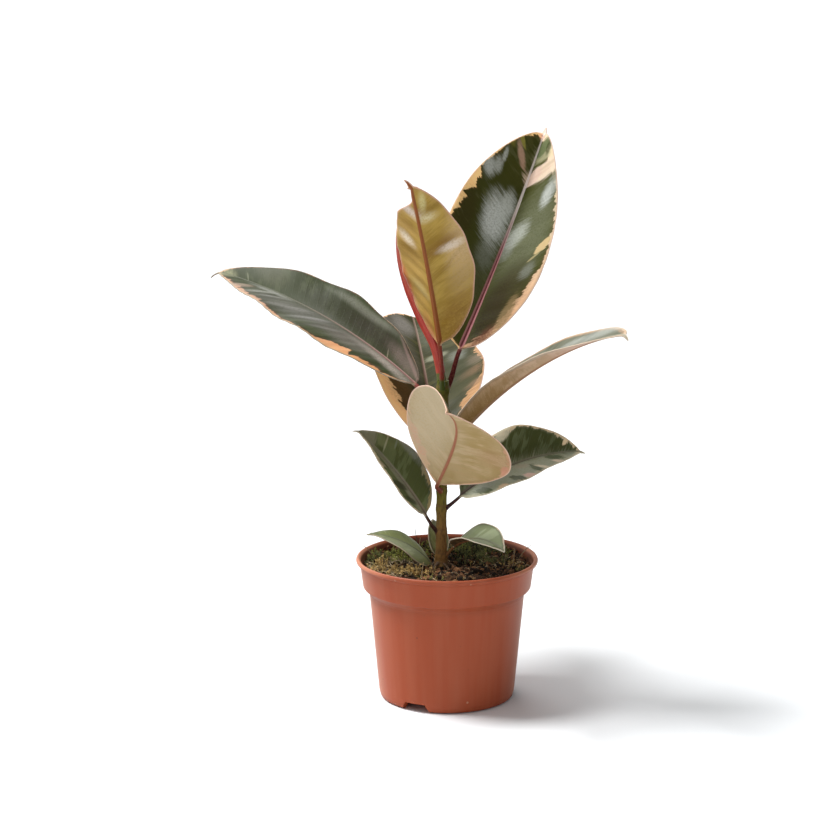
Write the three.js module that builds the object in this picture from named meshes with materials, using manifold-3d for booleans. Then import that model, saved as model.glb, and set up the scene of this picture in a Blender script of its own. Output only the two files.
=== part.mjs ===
// A young variegated rubber plant in a 12 cm plastic nursery pot.
// Millimetres, +Z up. The origin is on the floor, on the axis of the pot.
// Bearings are degrees round the pot from +X towards +Y; the front of the plant faces -Y.
import * as THREE from 'three';
import { mergeVertices } from 'three/addons/utils/BufferGeometryUtils.js';
import Module from 'manifold-3d';

const wasm = await Module();
wasm.setup();

// Clearance between pieces that touch.
const GAP = 0.3;

// Pot: outside radii and heights, wall and floor.
const POT = {
  sides: 60,
  height: 94,
  lipRadius: 60,
  lipDepth: 3,
  bandTopRadius: 57.3,
  bandFootRadius: 55.3,
  bandFoot: 74.9,
  wallTopRadius: 51,
  wallTop: 69.6,
  footRadius: 44.8,
  wall: 1.4,
  floorUnderside: 5.6,
  footRing: 4.6,
  padRadius: 8,
};
// Three notches in the foot ring let water out; the first faces the front left.
const NOTCH = { count: 3, bearing: -118, halfTopAngle: 9.2, halfFootAngle: 14.5, height: 5.5 };
const DRAIN = { count: 6, circle: 26, radius: 4.5, sides: 20 };

// Soil: peat with a low mound and lumps.
const SOIL = { sides: 48, rings: 8, rimLevel: 85.2, mound: 1.5, lump: 1.1 };

// Stem: the axis leans a little; radius grows at the foot and at the leafy top.
const STEM = {
  sides: 12,
  bottom: 56.5,
  top: 212.5,
  step: 3.5,
  axis: [[56.5, -4.2, 0.6], [90.5, -3.9, 0.2], [132.5, -3.7, 0], [166.5, -2.9, 0], [212.5, -2.9, 0.4]],
  radii: [[56.5, 3.6], [82.5, 4.5], [92.5, 3.9], [110.5, 3.45], [148.5, 3.35], [188.5, 3.7], [212.5, 3.9]],
  scar: 0.45,
  scarSpread: 2.2,
};

// Leaf blades are sheets of this thickness with a midrib that stands out below.
const BLADE = {
  thickness: 0.8,
  marginThickness: 0.62,
  ribHeight: 1.3,
  ribHalfWidth: 1.5,
  start: 0.012,
  end: 0.988,
  pinchDepth: 0.86,
};
// Petiole: its sections, how far its ends pull straight, and how much slimmer its waist is.
const PETIOLE = { steps: 6, pull: 0.35, waist: 0.3 };
// Drip tip: its sections, and its half width at the root and the end.
const DRIP = { steps: 3, rootHalfWidth: 2.15, endHalfWidth: 0.45 };
const COLOUR = {
  pot: 0xb5573a,
  soil: 0x3b2a1e,
  stem: 0x5d5a30,
  sheath: 0xa5302a,
  young: 0xb09a4a,
  green: 0x44503f,
  pale: 0xb3a27c,
};

// Leaves. foot: height on the stem, bearing and rise of the petiole as it leaves.
// base: where the blade begins. bearing and rise: the midrib there. sway and droop: its turn to the tip.
// roll and twist: lean about the midrib at the base and its change. fold and spread: lift of each half
// from flat at the base and its change. curl: how far a half bends down again at its margin.
// shape: where the blade is widest and how full its ends are. wave: size, count and phase of the
// ripples along the margins. drip: length of the pointed tip, which bends down by dripDroop.
// pinch: shares of the length between which the right half shrinks, where it does so before the tip.
const LEAVES = [
  {
    name: 'leaf_01', colour: 'young', length: 108, width: 60, shape: [0.92, 0.62], rows: 16,
    foot: { height: 206.5, bearing: -95, rise: 50, radius: 1.9 }, base: [-5, -5, 236.5],
    bearing: -131, sway: -11, rise: 78, droop: 3, roll: 8, twist: 24,
    fold: 35, spread: -4, curl: 6, bias: 2, wave: [0.9, 4.5, 0.4], drip: 8.5, dripDroop: 40,
    pinch: [0.83, 0.92],
  },
  {
    name: 'leaf_02', colour: 'green', length: 160, width: 87, shape: [1.06, 0.58], rows: 16,
    foot: { height: 205.5, bearing: 25, rise: 55, radius: 2 }, base: [8, 13.5, 230],
    bearing: 53, sway: -7, rise: 51, droop: -12, roll: 23, twist: -3,
    fold: 17, spread: 28, curl: -5, bias: 4.5, wave: [0.8, 2.5, 1.2], drip: 6, dripDroop: 0,
  },
  {
    name: 'leaf_03', colour: 'green', length: 170, width: 84.5, shape: [0.99, 0.68], rows: 18,
    foot: { height: 190.5, bearing: 200, rise: 40, radius: 2 }, base: [-20.3, -3.6, 210],
    bearing: 141, sway: 13, rise: 31, droop: 20.5, roll: 3, twist: -11,
    fold: 5.5, spread: 13, curl: 11, bias: 0, wave: [1.1, 4, 2.1], drip: 10, dripDroop: 50,
  },
  {
    name: 'leaf_04', colour: 'green', length: 148, width: 82, shape: [0.93, 0.62], rows: 17,
    foot: { height: 154.5, bearing: 100, rise: 35, radius: 2 }, base: [-7.5, 11.5, 165.5],
    bearing: 99, sway: -3, rise: 43, droop: 35, roll: -3.5, twist: 21,
    fold: 21.5, spread: -16.5, curl: -8, bias: -0.5, wave: [0.9, 3, 0.6], drip: 8, dripDroop: 20,
  },
  {
    name: 'leaf_05', colour: 'green', length: 161, width: 59, shape: [0.72, 0.59], rows: 17,
    foot: { height: 162.5, bearing: -35, rise: 35, radius: 2 }, base: [4.6, -6.1, 173],
    bearing: -9, sway: -50, rise: 53, droop: 40.5, roll: 0.5, twist: 14,
    fold: 26.5, spread: -19, curl: 1.5, bias: 0, wave: [0.5, 3, 2.6], drip: 7, dripDroop: 50,
  },
  {
    name: 'leaf_06', colour: 'pale', length: 117, width: 81, shape: [1.14, 0.86], rows: 16,
    foot: { height: 138.5, bearing: -105, rise: 40, radius: 1.9 }, base: [-6.5, -10.5, 145],
    bearing: -62, sway: -45, rise: 50, droop: 28, roll: -37.5, twist: 5,
    fold: -3.5, spread: 37, curl: 21.5, bias: -4, wave: [0.6, 2.5, 0.9], drip: 5, dripDroop: 20,
  },
  {
    name: 'leaf_07', colour: 'green', length: 72, width: 42.5, shape: [0.98, 0.68], rows: 12,
    foot: { height: 110.5, bearing: 205, rise: 40, radius: 1.5 }, base: [-13.7, -4, 122.5],
    bearing: 158.5, sway: -5, rise: 56.5, droop: 20, roll: -15, twist: 15,
    fold: 17, spread: 11, curl: -2.5, bias: -3, wave: [0.5, 2.5, 0.2], drip: 5, dripDroop: 45,
  },
  {
    name: 'leaf_08', colour: 'green', length: 86.5, width: 55, shape: [0.99, 0.7], rows: 13,
    foot: { height: 126.5, bearing: -12, rise: 35, radius: 1.5 }, base: [8, -2.3, 135],
    bearing: -3, sway: 17.5, rise: 42, droop: 44.5, roll: 27, twist: -7,
    fold: 14.5, spread: 11, curl: 0.5, bias: 5.5, wave: [0.7, 3, 1.7], drip: 5, dripDroop: 15,
  },
  {
    name: 'leaf_09', colour: 'green', length: 48, width: 30, shape: [0.78, 0.8], rows: 10,
    foot: { height: 88, bearing: 215, rise: 15, radius: 1.3 }, base: [-9.6, -4.1, 89.1],
    bearing: 186, sway: -14, rise: 53, droop: 53.5, roll: -8.5, twist: 7,
    fold: -1, spread: 27, curl: 21, bias: -2, wave: [0.4, 2, 0.5], drip: 2.5, dripDroop: 0,
  },
  {
    name: 'leaf_10', colour: 'green', length: 48, width: 27.5, shape: [0.92, 0.62], rows: 10,
    foot: { height: 94.5, bearing: -25, rise: 40, radius: 1.3 }, base: [4.5, -3.2, 101.5],
    bearing: -46.5, sway: 0, rise: 36.5, droop: 55.5, roll: 7.5, twist: 13,
    fold: 27.5, spread: -3.5, curl: -3, bias: 0, wave: [0.4, 2.5, 0.8], drip: 2.5, dripDroop: 20,
  },
  {
    name: 'leaf_11', colour: 'green', length: 30, width: 16.5, shape: [0.92, 0.62], rows: 10,
    foot: { height: 88.5, bearing: 100, rise: 20, radius: 1.3 }, base: [-5.6, 6.8, 90.5],
    bearing: 97, sway: 4, rise: 58, droop: 30, roll: 14, twist: 8,
    fold: 15, spread: 0, curl: -5, bias: 3, wave: [0.3, 2, 0.3], drip: 2.5, dripDroop: 10,
  },
];

// Bud sheath: points on its axis with its radius, from the stem's top to the tip.
const SHEATH = {
  sides: 12,
  rings: 16,
  path: [
    [-3.9, 1.4, 212.8, 3.0],
    [-5.2, 3.0, 221.5, 2.9],
    [-8.2, 6.4, 234.5, 3.4],
    [-15, 14.2, 249.5, 4.6],
    [-22.6, 20.6, 268.5, 5.2],
    [-28, 21.6, 286.5, 4.6],
    [-30.8, 19.6, 302.5, 3.0],
    [-31.6, 17, 316.5, 0.5],
  ],
};

const radians = THREE.MathUtils.degToRad;

function material(colour, roughness) {
  return new THREE.MeshStandardMaterial({ color: colour, roughness, metalness: 0 });
}

// Straight-line reading of a table of [x, value, ...] rows.
function along(table, x, column = 1) {
  let i = 0;
  while (i < table.length - 2 && x > table[i + 1][0]) i += 1;
  const f = THREE.MathUtils.clamp((x - table[i][0]) / (table[i + 1][0] - table[i][0]), 0, 1);
  return THREE.MathUtils.lerp(table[i][column], table[i + 1][column], f);
}

// A closed skin over rings of points. Edges from fold onwards take the mirrored diagonal,
// so that the two faces of a thin sheet are split alike.
function loft(rings, fold = Infinity) {
  const n = rings[0].length;
  const points = rings.flat();
  const faces = [];
  for (let i = 0; i < rings.length - 1; i += 1) {
    for (let k = 0; k < n; k += 1) {
      const a = i * n + k;
      const b = i * n + ((k + 1) % n);
      const c = a + n;
      const d = b + n;
      if (k < fold) faces.push(a, b, d, a, d, c);
      else faces.push(a, b, c, b, d, c);
    }
  }
  const ends = [[rings[0], 0, true], [rings.at(-1), (rings.length - 1) * n, false]];
  for (const [ring, start, flip] of ends) {
    const centre = new THREE.Vector3();
    ring.forEach((p) => centre.addScaledVector(p, 1 / n));
    const hub = points.push(centre) - 1;
    for (let k = 0; k < n; k += 1) {
      const a = start + k;
      const b = start + ((k + 1) % n);
      faces.push(...(flip ? [hub, b, a] : [hub, a, b]));
    }
  }
  const geometry = new THREE.BufferGeometry().setFromPoints(points);
  geometry.setIndex(faces);
  return facingOut(geometry);
}

// Six times the enclosed volume tells which way the faces point.
function facingOut(geometry) {
  const at = geometry.attributes.position;
  const index = geometry.index.array;
  const corner = [new THREE.Vector3(), new THREE.Vector3(), new THREE.Vector3()];
  let volume = 0;
  for (let i = 0; i < index.length; i += 3) {
    corner.forEach((c, k) => c.fromBufferAttribute(at, index[i + k]));
    volume += corner[0].dot(corner[1].clone().cross(corner[2]));
  }
  if (volume < 0) {
    for (let i = 0; i < index.length; i += 3) {
      [index[i], index[i + 1]] = [index[i + 1], index[i]];
    }
  }
  return geometry;
}

function toSolid(geometry) {
  const bare = geometry.clone();
  bare.deleteAttribute('normal');
  bare.deleteAttribute('uv');
  const merged = mergeVertices(bare, 1e-4);
  return new wasm.Manifold(new wasm.Mesh({
    numProp: 3,
    vertProperties: new Float32Array(merged.attributes.position.array),
    triVerts: new Uint32Array(merged.index.array),
  }));
}

function toGeometry(solid) {
  const mesh = solid.getMesh();
  const geometry = new THREE.BufferGeometry();
  geometry.setAttribute('position', new THREE.BufferAttribute(mesh.vertProperties, 3));
  geometry.setIndex(new THREE.BufferAttribute(mesh.triVerts, 1));
  return geometry;
}

function named(name, geometry, colour, roughness) {
  const mesh = new THREE.Mesh(geometry, material(colour, roughness));
  mesh.name = name;
  return mesh;
}

// Turns a lathe's +Y axis up to +Z.
function lathe(profile, sides) {
  const points = profile.map(([r, z]) => new THREE.Vector2(r, z));
  return new THREE.LatheGeometry(points, sides).rotateX(Math.PI / 2);
}

// Pot

function potProfile() {
  const { height: top, lipRadius: lip, wall, footRadius: foot } = POT;
  const under = POT.floorUnderside;
  const ring = foot - POT.footRing;
  const lipFoot = top - POT.lipDepth;
  return [
    [0, 0],
    [POT.padRadius, 0],
    [POT.padRadius + 1.5, under],
    [ring - 1.2, under],
    [ring, 0],
    [foot - 2.6, 0],
    [foot - 0.8, 1],
    [foot, 4],
    [POT.wallTopRadius, POT.wallTop],
    [POT.wallTopRadius + 0.6, POT.wallTop + 1.6],
    [POT.bandFootRadius - 0.7, POT.bandFoot - 0.8],
    [POT.bandFootRadius, POT.bandFoot],
    [POT.bandTopRadius, lipFoot - 0.8],
    [lip - 0.5, lipFoot],
    [lip, top - 1.6],
    [lip - 0.6, top - 0.2],
    [lip - 1.6, top],
    [lip - 3, top - 1.2],
    [POT.bandTopRadius - wall, lipFoot - 1],
    [POT.bandFootRadius - wall, POT.bandFoot + 0.3],
    [POT.wallTopRadius + 0.3, POT.bandFoot - 2.3],
    [POT.wallTopRadius - wall, POT.wallTop + 1],
    [foot - wall + 0.2, under + wall + 1.2],
    [foot - wall - 1.2, under + wall],
    [0, under + wall],
  ];
}

// A wedge through the foot ring, wider at the floor than at its top.
function notch(bearing) {
  const radii = [POT.footRadius - POT.footRing - 2, POT.footRadius + 2];
  const rings = radii.map((r) => [
    [-NOTCH.halfFootAngle, -1],
    [NOTCH.halfFootAngle, -1],
    [NOTCH.halfTopAngle, NOTCH.height],
    [-NOTCH.halfTopAngle, NOTCH.height],
  ].map(([angle, z]) => {
    const a = radians(bearing + angle);
    return new THREE.Vector3(r * Math.cos(a), r * Math.sin(a), z);
  }));
  return toSolid(loft(rings));
}

function potGeometry() {
  let pot = toSolid(lathe(potProfile(), POT.sides));
  for (let i = 0; i < NOTCH.count; i += 1) {
    pot = pot.subtract(notch(NOTCH.bearing + (360 / NOTCH.count) * i));
  }
  for (let i = 0; i < DRAIN.count; i += 1) {
    const angle = (2 * Math.PI * (i + 0.5)) / DRAIN.count;
    const hole = new THREE.CylinderGeometry(DRAIN.radius, DRAIN.radius, 10, DRAIN.sides);
    hole.rotateX(Math.PI / 2);
    hole.translate(DRAIN.circle * Math.cos(angle), DRAIN.circle * Math.sin(angle), POT.floorUnderside);
    pot = pot.subtract(toSolid(hole));
  }
  return toGeometry(pot);
}

// Stem

// The stem at a height, grown by an allowance, as a ring of points.
function stemRing(z, grow) {
  let radius = along(STEM.radii, z);
  for (const { foot } of LEAVES) {
    radius += STEM.scar * Math.exp(-(((z - foot.height) / STEM.scarSpread) ** 2));
  }
  const x = along(STEM.axis, z, 1);
  const y = along(STEM.axis, z, 2);
  return Array.from({ length: STEM.sides }, (_, k) => {
    const a = (2 * Math.PI * k) / STEM.sides;
    return new THREE.Vector3(x + (radius + grow) * Math.cos(a), y + (radius + grow) * Math.sin(a), z);
  });
}

function stemGeometry(grow = 0, top = STEM.top) {
  const heights = [STEM.bottom - grow];
  for (let z = STEM.bottom + STEM.step; z < top - 1; z += STEM.step) heights.push(z);
  heights.push(top);
  return loft(heights.map((z) => stemRing(z, grow)));
}

// Soil

function soilLevel(r, angle) {
  const x = r * Math.cos(angle);
  const y = r * Math.sin(angle);
  const lumps = Math.sin(x * 0.21 + 1.3) * Math.cos(y * 0.26 - 0.4)
    + 0.6 * Math.sin(x * 0.47 - y * 0.39) * Math.cos(y * 0.52 + 2);
  const edge = 1 - (r / POT.bandTopRadius) ** 2;
  return SOIL.rimLevel + SOIL.mound * edge + SOIL.lump * lumps * Math.min(1, 0.35 + 2 * edge);
}

function soilGeometry() {
  const floor = POT.floorUnderside + POT.wall + GAP;
  const step = (POT.wallTopRadius - POT.footRadius) / (POT.wallTop - 4);
  const wallRadius = (z) => POT.footRadius + step * (z - 4) - POT.wall - GAP - 0.15;
  const rise = (POT.bandTopRadius - POT.bandFootRadius) / (POT.height - POT.lipDepth - 0.8 - POT.bandFoot);
  const bandRadius = (z) => POT.bandFootRadius + rise * (z - POT.bandFoot) - POT.wall - GAP - 0.15;
  const side = [
    [0, floor],
    [wallRadius(floor) - 2, floor],
    [wallRadius(floor + 2.4), floor + 2.4],
    [wallRadius(POT.wallTop), POT.wallTop],
    [POT.wallTopRadius - 0.7, POT.bandFoot - 1.2],
    [bandRadius(POT.bandFoot + 1.6), POT.bandFoot + 1.6],
  ];
  const rimRadius = bandRadius(SOIL.rimLevel);
  const profile = [...side, [rimRadius, SOIL.rimLevel]];
  for (let i = SOIL.rings; i > 0; i -= 1) {
    profile.push([(rimRadius * (i - 0.4)) / SOIL.rings, SOIL.rimLevel]);
  }
  profile.push([0, SOIL.rimLevel]);
  const geometry = lathe(profile, SOIL.sides);
  const at = geometry.attributes.position;
  for (let i = 0; i < at.count; i += 1) {
    if (at.getZ(i) > SOIL.rimLevel - 0.01) {
      const x = at.getX(i);
      const y = at.getY(i);
      at.setZ(i, soilLevel(Math.hypot(x, y), Math.atan2(y, x)));
    }
  }
  const hole = toSolid(stemGeometry(GAP));
  return toGeometry(toSolid(geometry).subtract(hole));
}

// Leaves

// Midrib frame at a share t of the blade: forward, sideways (left) and up.
function bladeFrame(leaf, t) {
  const rise = radians(leaf.rise - leaf.droop * t);
  const bearing = radians(leaf.bearing + leaf.sway * t);
  const roll = radians(leaf.roll + leaf.twist * t);
  const forward = new THREE.Vector3(
    Math.cos(rise) * Math.cos(bearing),
    Math.cos(rise) * Math.sin(bearing),
    Math.sin(rise),
  );
  const level = new THREE.Vector3(-Math.sin(bearing), Math.cos(bearing), 0);
  const normal = forward.clone().cross(level);
  const side = level.clone().multiplyScalar(Math.cos(roll)).addScaledVector(normal, Math.sin(roll));
  const up = forward.clone().cross(side);
  return { forward, side, up };
}

function midribPoint(leaf, t) {
  const steps = 48;
  const point = new THREE.Vector3(...leaf.base);
  for (let i = 0; i < steps; i += 1) {
    point.addScaledVector(bladeFrame(leaf, (t * (i + 0.5)) / steps).forward, (leaf.length * t) / steps);
  }
  return point;
}

function halfWidth(leaf, t) {
  const [shoulder, fullness] = leaf.shape;
  const bow = Math.sin(Math.PI * Math.min(t, 1) ** shoulder);
  return (leaf.width / 2) * Math.max(bow, 0) ** fullness;
}

// Half width on the right, which is less near the tip where a leaf is pinched.
function rightReach(leaf, t, reach) {
  if (!leaf.pinch) return reach;
  return reach * (1 - BLADE.pinchDepth * THREE.MathUtils.smoothstep(t, ...leaf.pinch));
}

// Offset sideways and upwards, and the surface's lean, at a distance from the midrib.
function crossPoint(leaf, t, hand, distance, reach) {
  const start = radians(leaf.fold + leaf.spread * t + hand * leaf.bias);
  const bend = radians(leaf.curl) / Math.max(reach, 1e-6);
  const steps = 8;
  let out = 0;
  let lift = 0;
  for (let i = 0; i < steps; i += 1) {
    const lean = start - (bend * distance * (i + 0.5)) / steps;
    out += (Math.cos(lean) * distance) / steps;
    lift += (Math.sin(lean) * distance) / steps;
  }
  const [size, count, phase] = leaf.wave;
  const share = distance / Math.max(reach, 1e-6);
  const ripple = Math.sin(2 * Math.PI * count * t + phase + hand) * Math.sin(Math.PI * t);
  return { out: hand * out, lift: lift + size * share ** 1.6 * ripple, lean: start - bend * distance };
}

// One cross-section of the blade as a ring: upper face from left to right, lower face back.
function bladeRing(leaf, t, point, frame, reach) {
  const right = rightReach(leaf, t, reach);
  const rib = Math.min(BLADE.ribHalfWidth * (1 - 0.7 * t), reach * 0.4);
  const rightRib = Math.min(rib, right * 0.4);
  const distances = [reach, reach * 0.55, rib, 0, rightRib, right * 0.55, right];
  const hands = [1, 1, 1, 0, -1, -1, -1];
  const ribDrop = BLADE.ribHeight * (1 - 0.85 * t) * Math.min(1, leaf.length / 100);
  const upper = [];
  const lower = [];
  distances.forEach((distance, k) => {
    const spot = crossPoint(leaf, t, hands[k], distance, hands[k] < 0 ? right : reach);
    const lean = hands[k] * spot.lean;
    const middle = point.clone().addScaledVector(frame.side, spot.out).addScaledVector(frame.up, spot.lift);
    const normal = frame.up.clone().multiplyScalar(Math.cos(lean));
    normal.addScaledVector(frame.side, -Math.sin(lean));
    const edge = k === 0 || k === distances.length - 1;
    const half = (edge ? BLADE.marginThickness : BLADE.thickness) / 2;
    upper.push(middle.clone().addScaledVector(normal, half));
    lower.push(middle.clone().addScaledVector(normal, -half - (distance === 0 ? ribDrop : 0)));
  });
  return [...upper, ...lower.reverse()];
}

// A petiole section: the same number of points on a circle.
function petioleRing(point, forward, side, radius) {
  const left = side.clone().addScaledVector(forward, -side.dot(forward)).normalize();
  const up = forward.clone().cross(left);
  const angles = [12, 42, 70, 90, 110, 138, 168];
  const ring = [];
  for (const half of [angles, angles.map((a) => a + 180)]) {
    for (const a of half) {
      ring.push(point.clone()
        .addScaledVector(left, radius * Math.cos(radians(a)))
        .addScaledVector(up, radius * Math.sin(radians(a))));
    }
  }
  return ring;
}

function leafRings(leaf) {
  const rings = [];
  const { foot } = leaf;
  const start = new THREE.Vector3(
    along(STEM.axis, foot.height, 1),
    along(STEM.axis, foot.height, 2),
    foot.height,
  );
  const outward = new THREE.Vector3(Math.cos(radians(foot.bearing)), Math.sin(radians(foot.bearing)), 0);
  const leave = outward.clone().multiplyScalar(Math.cos(radians(foot.rise)));
  leave.z = Math.sin(radians(foot.rise));
  start.addScaledVector(outward, along(STEM.radii, foot.height) - foot.radius);
  const base = new THREE.Vector3(...leaf.base);
  const first = bladeFrame(leaf, 0);
  const span = start.distanceTo(base);
  const curve = new THREE.CubicBezierCurve3(
    start,
    start.clone().addScaledVector(leave, span * PETIOLE.pull),
    base.clone().addScaledVector(first.forward, -span * PETIOLE.pull),
    base,
  );
  for (let i = 0; i < PETIOLE.steps; i += 1) {
    const s = i / PETIOLE.steps;
    const radius = foot.radius * (1 - PETIOLE.waist * Math.sin((Math.PI * s) / 2));
    rings.push(petioleRing(curve.getPoint(s), curve.getTangent(s), first.side, radius));
  }
  for (let i = 0; i <= leaf.rows; i += 1) {
    const even = i / leaf.rows;
    const closerAtEnds = 0.4 * even + 0.3 * (1 - Math.cos(Math.PI * even));
    const t = THREE.MathUtils.lerp(BLADE.start, BLADE.end, closerAtEnds);
    rings.push(bladeRing(leaf, t, midribPoint(leaf, t), bladeFrame(leaf, t), halfWidth(leaf, t)));
  }
  const tip = midribPoint(leaf, BLADE.end);
  for (let i = 1; i <= DRIP.steps; i += 1) {
    const share = i / DRIP.steps;
    const point = { ...leaf, wave: [0, 0, 0], fold: 10, spread: 0, bias: 0, pinch: null };
    point.rise -= leaf.dripDroop * share;
    const frame = bladeFrame(point, 1);
    tip.addScaledVector(frame.forward, leaf.drip / DRIP.steps);
    const reach = THREE.MathUtils.lerp(DRIP.rootHalfWidth, DRIP.endHalfWidth, share);
    rings.push(bladeRing(point, 1, tip.clone(), frame, reach));
  }
  return rings;
}

function leafGeometry(leaf, clearance) {
  const rings = leafRings(leaf);
  return toGeometry(toSolid(loft(rings, rings[0].length / 2)).subtract(clearance));
}

// Bud sheath

function sheathGeometry() {
  const axis = new THREE.CatmullRomCurve3(SHEATH.path.map(([x, y, z]) => new THREE.Vector3(x, y, z)));
  const last = SHEATH.path.length - 1;
  const rings = [];
  for (let i = 0; i <= SHEATH.rings; i += 1) {
    const s = i / SHEATH.rings;
    const centre = axis.getPoint(s);
    const forward = i === 0 ? new THREE.Vector3(0, 0, 1) : axis.getTangent(s);
    const left = new THREE.Vector3(1, 0, 0).cross(forward).normalize();
    const up = forward.clone().cross(left);
    const k = Math.min(last - 1, Math.floor(s * last));
    const radius = THREE.MathUtils.lerp(SHEATH.path[k][3], SHEATH.path[k + 1][3], s * last - k);
    rings.push(Array.from({ length: SHEATH.sides }, (_, j) => {
      const a = (2 * Math.PI * j) / SHEATH.sides;
      return centre.clone()
        .addScaledVector(left, radius * Math.cos(a))
        .addScaledVector(up, radius * Math.sin(a));
    }));
  }
  return loft(rings);
}

const plant = new THREE.Group();
plant.name = 'potted_rubber_plant';
plant.add(named('pot', potGeometry(), COLOUR.pot, 0.45));
plant.add(named('soil', soilGeometry(), COLOUR.soil, 0.95));
plant.add(named('stem', stemGeometry(), COLOUR.stem, 0.6));
const clearance = toSolid(stemGeometry(GAP, STEM.top + GAP));
for (const leaf of LEAVES) {
  plant.add(named(leaf.name, leafGeometry(leaf, clearance), COLOUR[leaf.colour], 0.35));
}
plant.add(named('bud_sheath', sheathGeometry(), COLOUR.sheath, 0.4));

export default plant;
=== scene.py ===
"""A young variegated rubber plant in a plastic nursery pot.

Laid out as a Blender add-on and run as a script. Tables are in millimetres and degrees unless
they say otherwise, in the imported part's frame: origin on the floor on the pot's axis, +Z up, front
to -Y. Tones are linear red, green and blue.
"""

import math
import random

import bpy
import numpy as np
from mathutils import Matrix, Vector, noise


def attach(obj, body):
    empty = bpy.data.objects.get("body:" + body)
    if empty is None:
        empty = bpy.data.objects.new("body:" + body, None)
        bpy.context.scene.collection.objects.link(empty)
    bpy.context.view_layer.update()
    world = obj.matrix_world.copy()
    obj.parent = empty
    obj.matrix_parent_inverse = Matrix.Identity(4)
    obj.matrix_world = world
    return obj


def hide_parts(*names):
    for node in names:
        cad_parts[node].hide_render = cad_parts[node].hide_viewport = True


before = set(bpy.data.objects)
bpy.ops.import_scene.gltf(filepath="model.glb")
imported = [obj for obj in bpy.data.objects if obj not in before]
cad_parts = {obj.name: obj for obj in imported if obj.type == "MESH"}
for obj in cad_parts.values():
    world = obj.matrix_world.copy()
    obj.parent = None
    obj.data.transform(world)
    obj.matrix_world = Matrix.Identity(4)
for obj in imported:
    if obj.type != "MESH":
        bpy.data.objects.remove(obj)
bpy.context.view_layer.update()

bl_info = {
    "name": "Potted rubber plant",
    "version": (1, 0, 0),
    "blender": (4, 5, 0),
    "location": "View3D > Sidebar > Rubber plant",
    "description": "Builds a young variegated rubber plant in its nursery pot",
    "category": "Add Mesh",
}

MM = 0.001
BODY = "root"
START_SIZE = 0.1

# Points nearer than this are made one, in metres.
SAME_POINT = {"skin": 1e-8, "pot": 1e-6}

# An edge with at least this angle stays sharp.
CREASE = {"pot": 35, "leaf": 70}
FLOAT = "NodeSocketFloat"
VECTOR = "NodeSocketVector"

# Arc at a corner of a profile: the most of a side that it may take, and its points.
CORNER = {"most": 0.42, "points": 4}

# Outer and inner profile of the pot, as radius and height.
POT_PROFILE = [
    (8, 0), (9.5, 5.6), (39, 5.6), (40.2, 0), (42.2, 0), (44, 1), (44.8, 4), (51, 69.6),
    (51.6, 71.2), (54.6, 74.1), (55.3, 74.9), (57.3, 90.2), (59.5, 91), (60, 92.4), (59.4, 93.8),
    (58.4, 94), (57, 92.8), (55.9, 90), (53.9, 75.2), (51.3, 72.6), (49.6, 70.6), (43.6, 8.2),
    (42.2, 7),
]

# Notches in the foot. top and foot: half their angle at the top and at the floor.
NOTCH = {
    "count": 3, "bearing": -118, "top": 9.2, "foot": 14.5, "height": 5.5, "under": -1,
    "inner": 38.2, "outer": 46.8,
}

# Drain holes, on a circle, each cut by a peg.
DRAIN = {"count": 6, "circle": 26, "radius": 4.5, "level": 5.6, "depth": 10, "sides": 32}

# Nicks and specks in the plastic: point, radius and whether it is paler than the wall.
POT_MARKS = [
    ((13.5, -43.1, 7.6), 0.9, True), ((-33.3, -49.5, 91.7), 0.7, True), ((15.3, -57.5, 91.1), 0.8, True),
    ((-19.3, -45.4, 52), 0.8, False), ((-42, -18.6, 15.6), 0.8, False),
]

# Zones of the plastic: low and high place and, where they aren't 0 and 1, the values there.
# LIP_TOP and LIP_SIDES place the painted highlight on the lip's sides and the painted shade at its front.
LIP_TOP = (91.2, 92.5)
LIP_SIDES = (30, 57)
# CREASES: where shade is painted under the band and under the lip.
CREASES = [((64.6, 73.1), (74.2, 75, 1, 0)), ((88.5, 90.2), (91, 91.8, 0.6, 0))]
WALL = {"slope": 0.122, "inner_face": (45.3, 45.8, 1, 0), "above": (75.1, 76.6), "damp": (86, 92.5, 1, 0.15)}
# Tones of the plastic. The tone for creases and the one for the lip's front are painted shade, the inside's
# is partly painted shade and partly its own darker tone, and the pale tone for upright edges is a painted
# reflection.
PLASTIC = {
    "cloud": (0.34, 0.09, 0.035), "front": (0.20, 0.055, 0.028), "crease_shade": (0.16, 0.045, 0.02),
    "inside": (0.11, 0.045, 0.024), "peat": (0.05, 0.026, 0.014), "speck": (0.14, 0.06, 0.03),
    "pale nick": (0.62, 0.34, 0.22), "dark nick": (0.16, 0.05, 0.03), "painted_reflection": (0.78, 0.42, 0.30),
}

# Bed of peat. mound and lump: height of its middle and of its waves over the level.
SOIL = {"rim": 55.4, "level": 85.2, "mound": 1.5, "lump": 1.1, "band": 57.3}

# Mesh of the bed, whose roughness is calmer near the wall.
BED = {"sides": 200, "rows": 60, "middle": 0.4, "coarse": 0.9, "fine": 0.45, "calm": 4, "calmest": 0.3}

# Side of the bed down to the pot's floor, as radius and height.
SOIL_SIDE = [(53.6, 76.3), (50.3, 73.7), (49.2, 69.6), (43.4, 9.7), (41.2, 7.3)]
PEAT = {"pores": (0.012, 0.008, 0.005), "red": (0.10, 0.04, 0.02)}

# Litter's room round the stem, and the least share of its size by which a piece reaches out.
STEM_ROOM = 4.4
LEAST_REACH = 0.3

# How much higher litter lies at the back and at the sides, and where that starts and is full.
HEAP = {"back": (4.6, -5, 40), "side": (2.4, 30, 52), "least": 0.3}

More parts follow.
